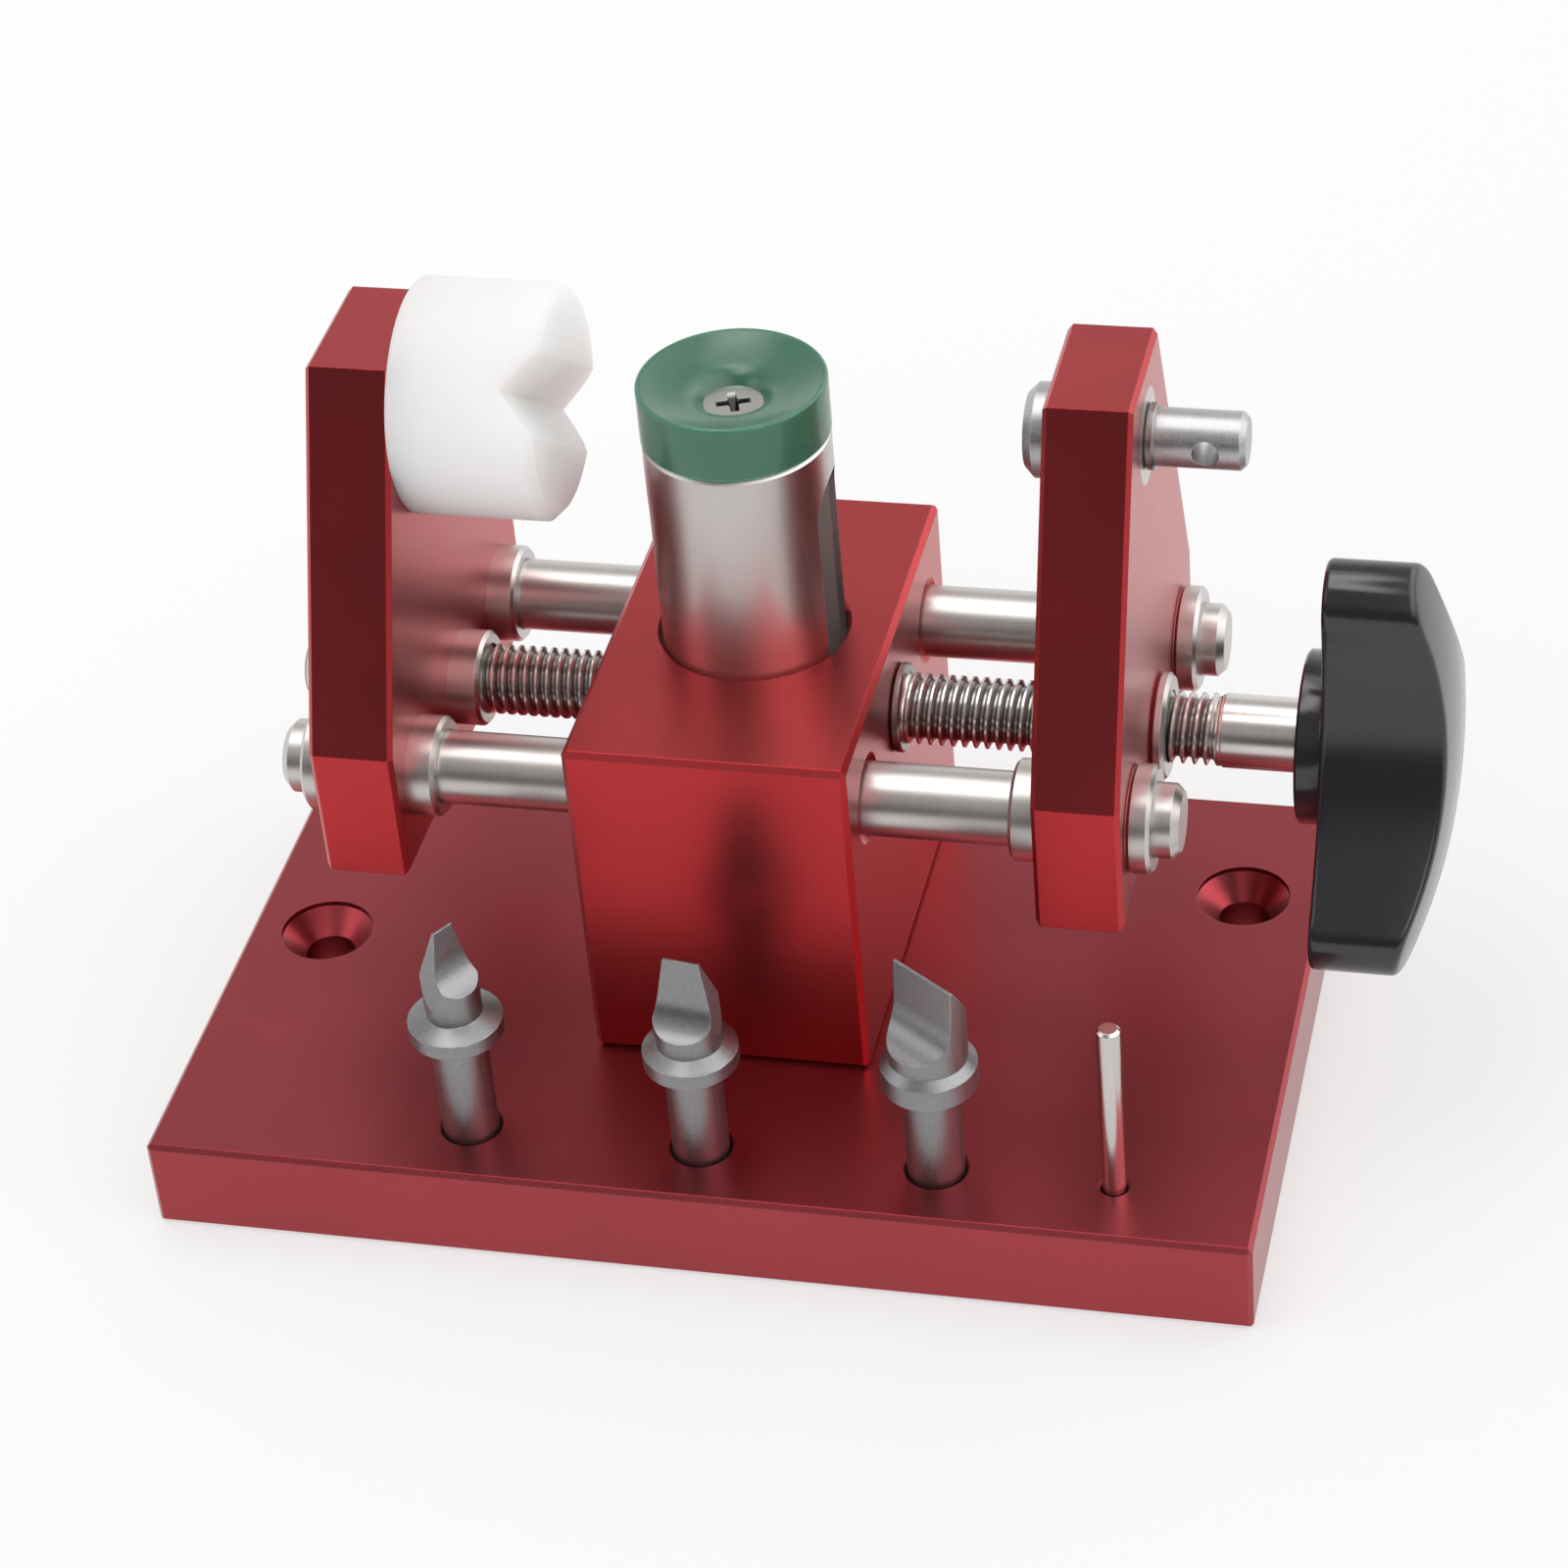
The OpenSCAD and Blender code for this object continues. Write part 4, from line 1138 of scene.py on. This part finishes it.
class OPENER_OT_pad(bpy.types.Operator):
    """Cast pad with a dish that runs softly down to its screw"""

    bl_idname = "opener.pad"
    bl_label = "Pad"

    def execute(self, context):
        settings = context.scene.opener
        sizes = settings.pad
        low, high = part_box("pad")
        screw_low, screw_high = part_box("pad_screw")
        r = (high.x - low.x) / 2
        head_r = (screw_high.x - screw_low.x) / 2
        rim = sizes.rim
        foot = 0.15 * MM
        seat = screw_high.z - head_r + PAD_SCREW_R
        profile = [(PAD_SCREW_R, low.z), (r - foot, low.z), (r, low.z + foot)]
        for t in quarter_turn(6):
            profile.append((r - rim + rim * math.cos(t), high.z - rim * (1 - math.sin(t))))
        profile += dish_line(sizes, r - rim, head_r, high.z, screw_high.z)[1:]
        profile += [(PAD_SCREW_R, seat), (PAD_SCREW_R, low.z)]
        mesh = revolved(profile, 96, on_post)
        mesh.name = "pad_cast"
        mesh.materials.append(pad_rubber("green_pad", tuple(settings.finish.pad)))
        add_piece("pad_cast", mesh, "watch_post", "green_pad", "pad", sharp=34)
        return {"FINISHED"}


class OPENER_OT_pad_screw(bpy.types.Operator):
    """Countersunk screw in the pad, with a cross recess"""

    bl_idname = "opener.pad_screw"
    bl_label = "Pad's screw"

    def execute(self, context):
        colours = context.scene.opener.finish
        sizes = context.scene.opener.pad_screw
        low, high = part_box("pad_screw")
        head_r = (high.x - low.x) / 2
        shank_r = PAD_SCREW_R
        edge = 0.08 * MM
        body = revolved(
            [(0, low.z), (shank_r, low.z), (shank_r, high.z - head_r + shank_r),
             (head_r - edge, high.z - 2 * edge), (head_r, high.z - edge),
             (head_r - edge, high.z), (0, high.z)],
            64, on_post,
        )
        close_and_shade(body, 30)
        cutter = cross_cutter(sizes, high.z)
        carrier = bpy.data.objects.new("carrier", body)
        tool = bpy.data.objects.new("cutter", cutter)
        for made in (carrier, tool):
            context.scene.collection.objects.link(made)
        cut = carrier.modifiers.new("Recess", "BOOLEAN")
        cut.operation = "DIFFERENCE"
        cut.solver = "EXACT"
        cut.object = tool
        mesh = evaluated_copy(carrier)
        mesh.name = "pad_screw_recessed"
        for made in (carrier, tool):
            bpy.data.objects.remove(made)
        mesh.materials.clear()
        # The cross recess is made dark: painted shade.
        mesh.materials.append(
            turned("steel_pad_screw", tuple(colours.plating), POST_AXIS, 2,
                   dark_under=high.z - POST_AXIS.z - 0.12 * MM)
        )
        add_piece("pad_screw_recessed", mesh, "watch_post", "plated_steel", "pad_screw", sharp=30)
        return {"FINISHED"}


def cross_cutter(sizes, top):
    """A tapered cross that points down from a height, turned a little about the post."""
    a, b = sizes.slot / 2, sizes.recess / 2
    waist = 1.45
    c = a * waist
    corner = [
        (b, -a), (b, a), (c, a), (a, c), (a, b), (-a, b), (-a, c), (-c, a),
        (-b, a), (-b, -a), (-c, -a), (-a, -c), (-a, -b), (a, -b), (a, -c), (c, -a),
    ]
    turn = math.radians(20)
    levels = ((0.3 * MM, 1.12), (0.0, 1.0), (-0.55 * sizes.deep, 0.72), (-0.9 * sizes.deep, 0.42))
    work = bmesh.new()
    rings = []
    for height, share in levels:
        ring = []
        for x, y in corner:
            u, v = x * share, y * (share if abs(y) == b or abs(x) == b else min(1.0, share + 0.1))
            ring.append(work.verts.new((
                POST_AXIS.x + u * math.cos(turn) - v * math.sin(turn),
                POST_AXIS.y + u * math.sin(turn) + v * math.cos(turn),
                top + height,
            )))
        rings.append(ring)
    join_rings(work, rings)
    work.faces.new(list(reversed(rings[0])))
    tip = work.verts.new((POST_AXIS.x, POST_AXIS.y, top - sizes.deep))
    for i in range(len(corner)):
        work.faces.new((rings[-1][i], rings[-1][(i + 1) % len(corner)], tip))
    bmesh.ops.recalc_face_normals(work, faces=work.faces)
    mesh = bpy.data.meshes.new("cross_cutter")
    work.to_mesh(mesh)
    work.free()
    return mesh


class OPENER_OT_post_spring(bpy.types.Operator):
    """Compression spring under the post"""

    bl_idname = "opener.post_spring"
    bl_label = "Post spring"

    def execute(self, context):
        sizes = context.scene.opener.spring
        low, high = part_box("post_spring")
        wire = drawn_wire("spring_wire", tuple(context.scene.opener.finish.wire))
        mesh = grown(spring_tree(), {
            "Height": high.z - low.z, "Radius": (high.x - low.x - sizes.wire) / 2,
            "Wire": sizes.wire, "Open Turns": sizes.open_turns, "End Turns": sizes.end_turns,
            "End Pitch": sizes.end_pitch, "Steps": 40, "Sides": 12, "Material": wire,
        })
        mesh.name = "post_spring_wound"
        mesh.transform(Matrix.Translation((POST_AXIS.x, POST_AXIS.y, low.z)))
        piece = add_piece("post_spring_wound", mesh, "frame", "spring_steel", "post_spring", sharp=50)
        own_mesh(piece)
        return {"FINISHED"}


class OPENER_OT_stage(bpy.types.Operator):
    """Floor, soft studio light and the camera"""

    bl_idname = "opener.stage"
    bl_label = "Stage"

    def execute(self, context):
        sizes = context.scene.opener.stage
        scene = context.scene
        scene.view_settings.view_transform = "Standard"
        floor_mesh = bpy.data.meshes.new("floor")
        work = bmesh.new()
        bmesh.ops.create_grid(work, x_segments=4, y_segments=4, size=4.0)
        work.to_mesh(floor_mesh)
        work.free()
        floor = bpy.data.objects.new("floor", floor_mesh)
        scene.collection.objects.link(floor)
        floor_mesh.materials.append(self.paper())

        self.surround(scene, sizes.surround)
        width, length = sizes.key_size
        below_key = (sizes.key_place[0], sizes.key_place[1], 0)
        key = self.lamp(scene, "key_lamp", sizes.key, width, sizes.key_place, below_key)
        key.data.shape = "RECTANGLE"
        key.data.size_y = length
        tool_middle = (0, 0, 0.03)
        self.lamp(scene, "side_lamp", sizes.side, sizes.side_size, sizes.side_place, tool_middle)

        camera = bpy.data.objects.new("camera", bpy.data.cameras.new("camera"))
        scene.collection.objects.link(camera)
        camera.data.lens = sizes.lens
        camera.data.sensor_width = 36
        camera.data.clip_start = 0.02
        camera.data.clip_end = 20
        back = -Vector(sizes.camera_aim).normalized()
        right = Vector(sizes.camera_up).cross(back).normalized()
        up = back.cross(right)
        turn = Matrix((right, up, back)).transposed().to_4x4()
        camera.matrix_world = Matrix.Translation(sizes.camera_place) @ turn
        scene.camera = camera
        return {"FINISHED"}

    def lamp(self, scene, name, power, size, place, target):
        """A square soft lamp that points at a target. It returns the lamp."""
        light = bpy.data.lights.new(name, "AREA")
        light.energy = power
        light.size = size
        lamp = bpy.data.objects.new(name, light)
        scene.collection.objects.link(lamp)
        lamp.location = place
        aim = Vector(target) - Vector(place)
        lamp.rotation_euler = aim.to_track_quat("-Z", "Y").to_euler()
        return lamp

    def paper(self):
        """White paper that takes the tool's shadow and stays white far away.

        Mirrored in the tool, it ends in front.
        """
        material = bpy.data.materials.new("paper")
        material.use_nodes = True
        tree = material.node_tree
        tree.nodes.clear()
        place = put(tree, "ShaderNodeTexCoord").outputs["Object"]
        far = put(tree, "ShaderNodeVectorMath", {0: place}, operation="LENGTH").outputs["Value"]
        ahead = put(tree, "ShaderNodeSeparateXYZ", {0: place}).outputs[1]
        fibre = noise(tree, place, 900, 2.0)
        white = mixed(tree, fibre, (0.92, 0.92, 0.92), (0.94, 0.94, 0.94))
        paper = put(tree, "ShaderNodeBsdfDiffuse", {"Color": white}).outputs[0]
        rays = put(tree, "ShaderNodeLightPath").outputs
        mirrored = rays["Is Glossy Ray"]
        seen = calc(tree, "ADD", rays["Is Camera Ray"], mirrored, clamp=True)
        seen = calc(tree, "ADD", seen, rays["Is Transmission Ray"], clamp=True)
        ended = product(tree, scaled(tree, ahead, -0.60, -0.26, 1.0, 0.0), mirrored)
        tone = calc(tree, "SUBTRACT", 1.0, product(tree, ended, 0.9))
        glow = put(tree, "ShaderNodeEmission", {"Color": (1, 1, 1, 1), "Strength": tone}).outputs[0]
        share = product(tree, scaled(tree, far, 0.12, 0.7, 0.55, 1.0), seen)
        share = calc(tree, "MAXIMUM", share, ended)
        mix = put(tree, "ShaderNodeMixShader", {0: share, 1: paper, 2: glow}).outputs[0]
        put(tree, "ShaderNodeOutputMaterial", {"Surface": mix})
        return material

    def surround(self, scene, strength):
        """A white room, brighter on the right and low down.

        Mirrored in the tool, it is dim high up at the back and dark in front, with a bright
        window on the right and a bright strip overhead.
        """
        world = bpy.data.worlds.new("studio")
        world.use_nodes = True
        scene.world = world
        tree = world.node_tree
        tree.nodes.clear()
        way = put(tree, "ShaderNodeTexCoord").outputs["Generated"]
        x, y, z = put(tree, "ShaderNodeSeparateXYZ", {0: way}).outputs

        # What the tool mirrors, by the direction in which it looks
        back = scaled(tree, z, 0.28, 0.60, 1.0, 0.52)
        front = scaled(tree, z, 0.22, 0.50, 0.07, 0.36)
        behind = scaled(tree, y, -0.45, 0.05, 0.0, 1.0)
        room = put(tree, "ShaderNodeMix", {0: behind, 2: front, 3: back}).outputs[0]
        high = scaled(tree, z, 0.15, 0.45, 0.0, 1.0)
        right = product(tree, high, scaled(tree, x, 0.0, 0.5, 0.0, 1.7))
        near_top = scaled(tree, z, 0.89, 0.93, 0.0, 1.0)
        off_top = scaled(tree, z, 0.98, 0.99, 1.0, 0.0)
        on_left = scaled(tree, x, -0.05, 0.02, 2.2, 0.0)
        strip = product(tree, product(tree, near_top, off_top), on_left)
        mirrored = calc(tree, "ADD", calc(tree, "ADD", room, right), strip)

        # What lights the tool, and the plain white that the camera sees
        level = calc(tree, "MULTIPLY_ADD", z, -0.25 * strength, strength)
        level = calc(tree, "MULTIPLY_ADD", x, 0.35 * strength, level)
        rays = put(tree, "ShaderNodeLightPath").outputs
        tone = put(tree, "ShaderNodeMix", {0: rays["Is Glossy Ray"], 2: level, 3: mirrored})
        clear = calc(tree, "ADD", rays["Is Camera Ray"], rays["Is Transmission Ray"], clamp=True)
        shown = put(tree, "ShaderNodeMix", {0: clear, 2: tone.outputs[0], 3: 1.0})
        light = put(tree, "ShaderNodeBackground", {"Color": (1, 1, 1, 1), "Strength": shown.outputs[0]})
        put(tree, "ShaderNodeOutputWorld", {"Surface": light.outputs[0]})


# Panel and registration

OPERATORS = (
    OPENER_OT_anodised_plates,
    OPENER_OT_turned_pieces,
    OPENER_OT_ground_tools,
    OPENER_OT_rings_and_screws,
    OPENER_OT_lead_screw,
    OPENER_OT_knob,
    OPENER_OT_cushion,
    OPENER_OT_pad,
    OPENER_OT_pad_screw,
    OPENER_OT_post_spring,
    OPENER_OT_stage,
)


class OPENER_PT_pieces(bpy.types.Panel):
    """Lists the pieces of the case opener and their sizes"""

    bl_label = "Case Opener"
    bl_idname = "OPENER_PT_pieces"
    bl_space_type = "VIEW_3D"
    bl_region_type = "UI"
    bl_category = "Case Opener"

    def draw(self, context):
        settings = context.scene.opener
        for group in ("finish", "screw", "knob", "pad", "pad_screw", "spring", "stage"):
            box = self.layout.box()
            box.label(text=group.replace("_", " ").capitalize())
            values = getattr(settings, group)
            for name in values.__annotations__:
                box.prop(values, name)
        for kind in OPERATORS:
            self.layout.operator(kind.bl_idname)


SETTINGS = (
    FinishSettings, ScrewSettings, KnobSettings, PadSettings, PadScrewSettings,
    SpringSettings, StageSettings, OpenerSettings,
)


def register():
    for kind in SETTINGS + OPERATORS + (OPENER_PT_pieces,):
        bpy.utils.register_class(kind)
    bpy.types.Scene.opener = PointerProperty(type=OpenerSettings)


def unregister():
    del bpy.types.Scene.opener
    for kind in reversed(SETTINGS + OPERATORS + (OPENER_PT_pieces,)):
        bpy.utils.unregister_class(kind)


def main():
    """Registers the add-on, and makes every piece and the stage."""
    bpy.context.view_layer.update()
    register()
    for kind in OPERATORS:
        group, name = kind.bl_idname.split(".")
        getattr(getattr(bpy.ops, group), name)()


if __name__ == "__main__":
    main()
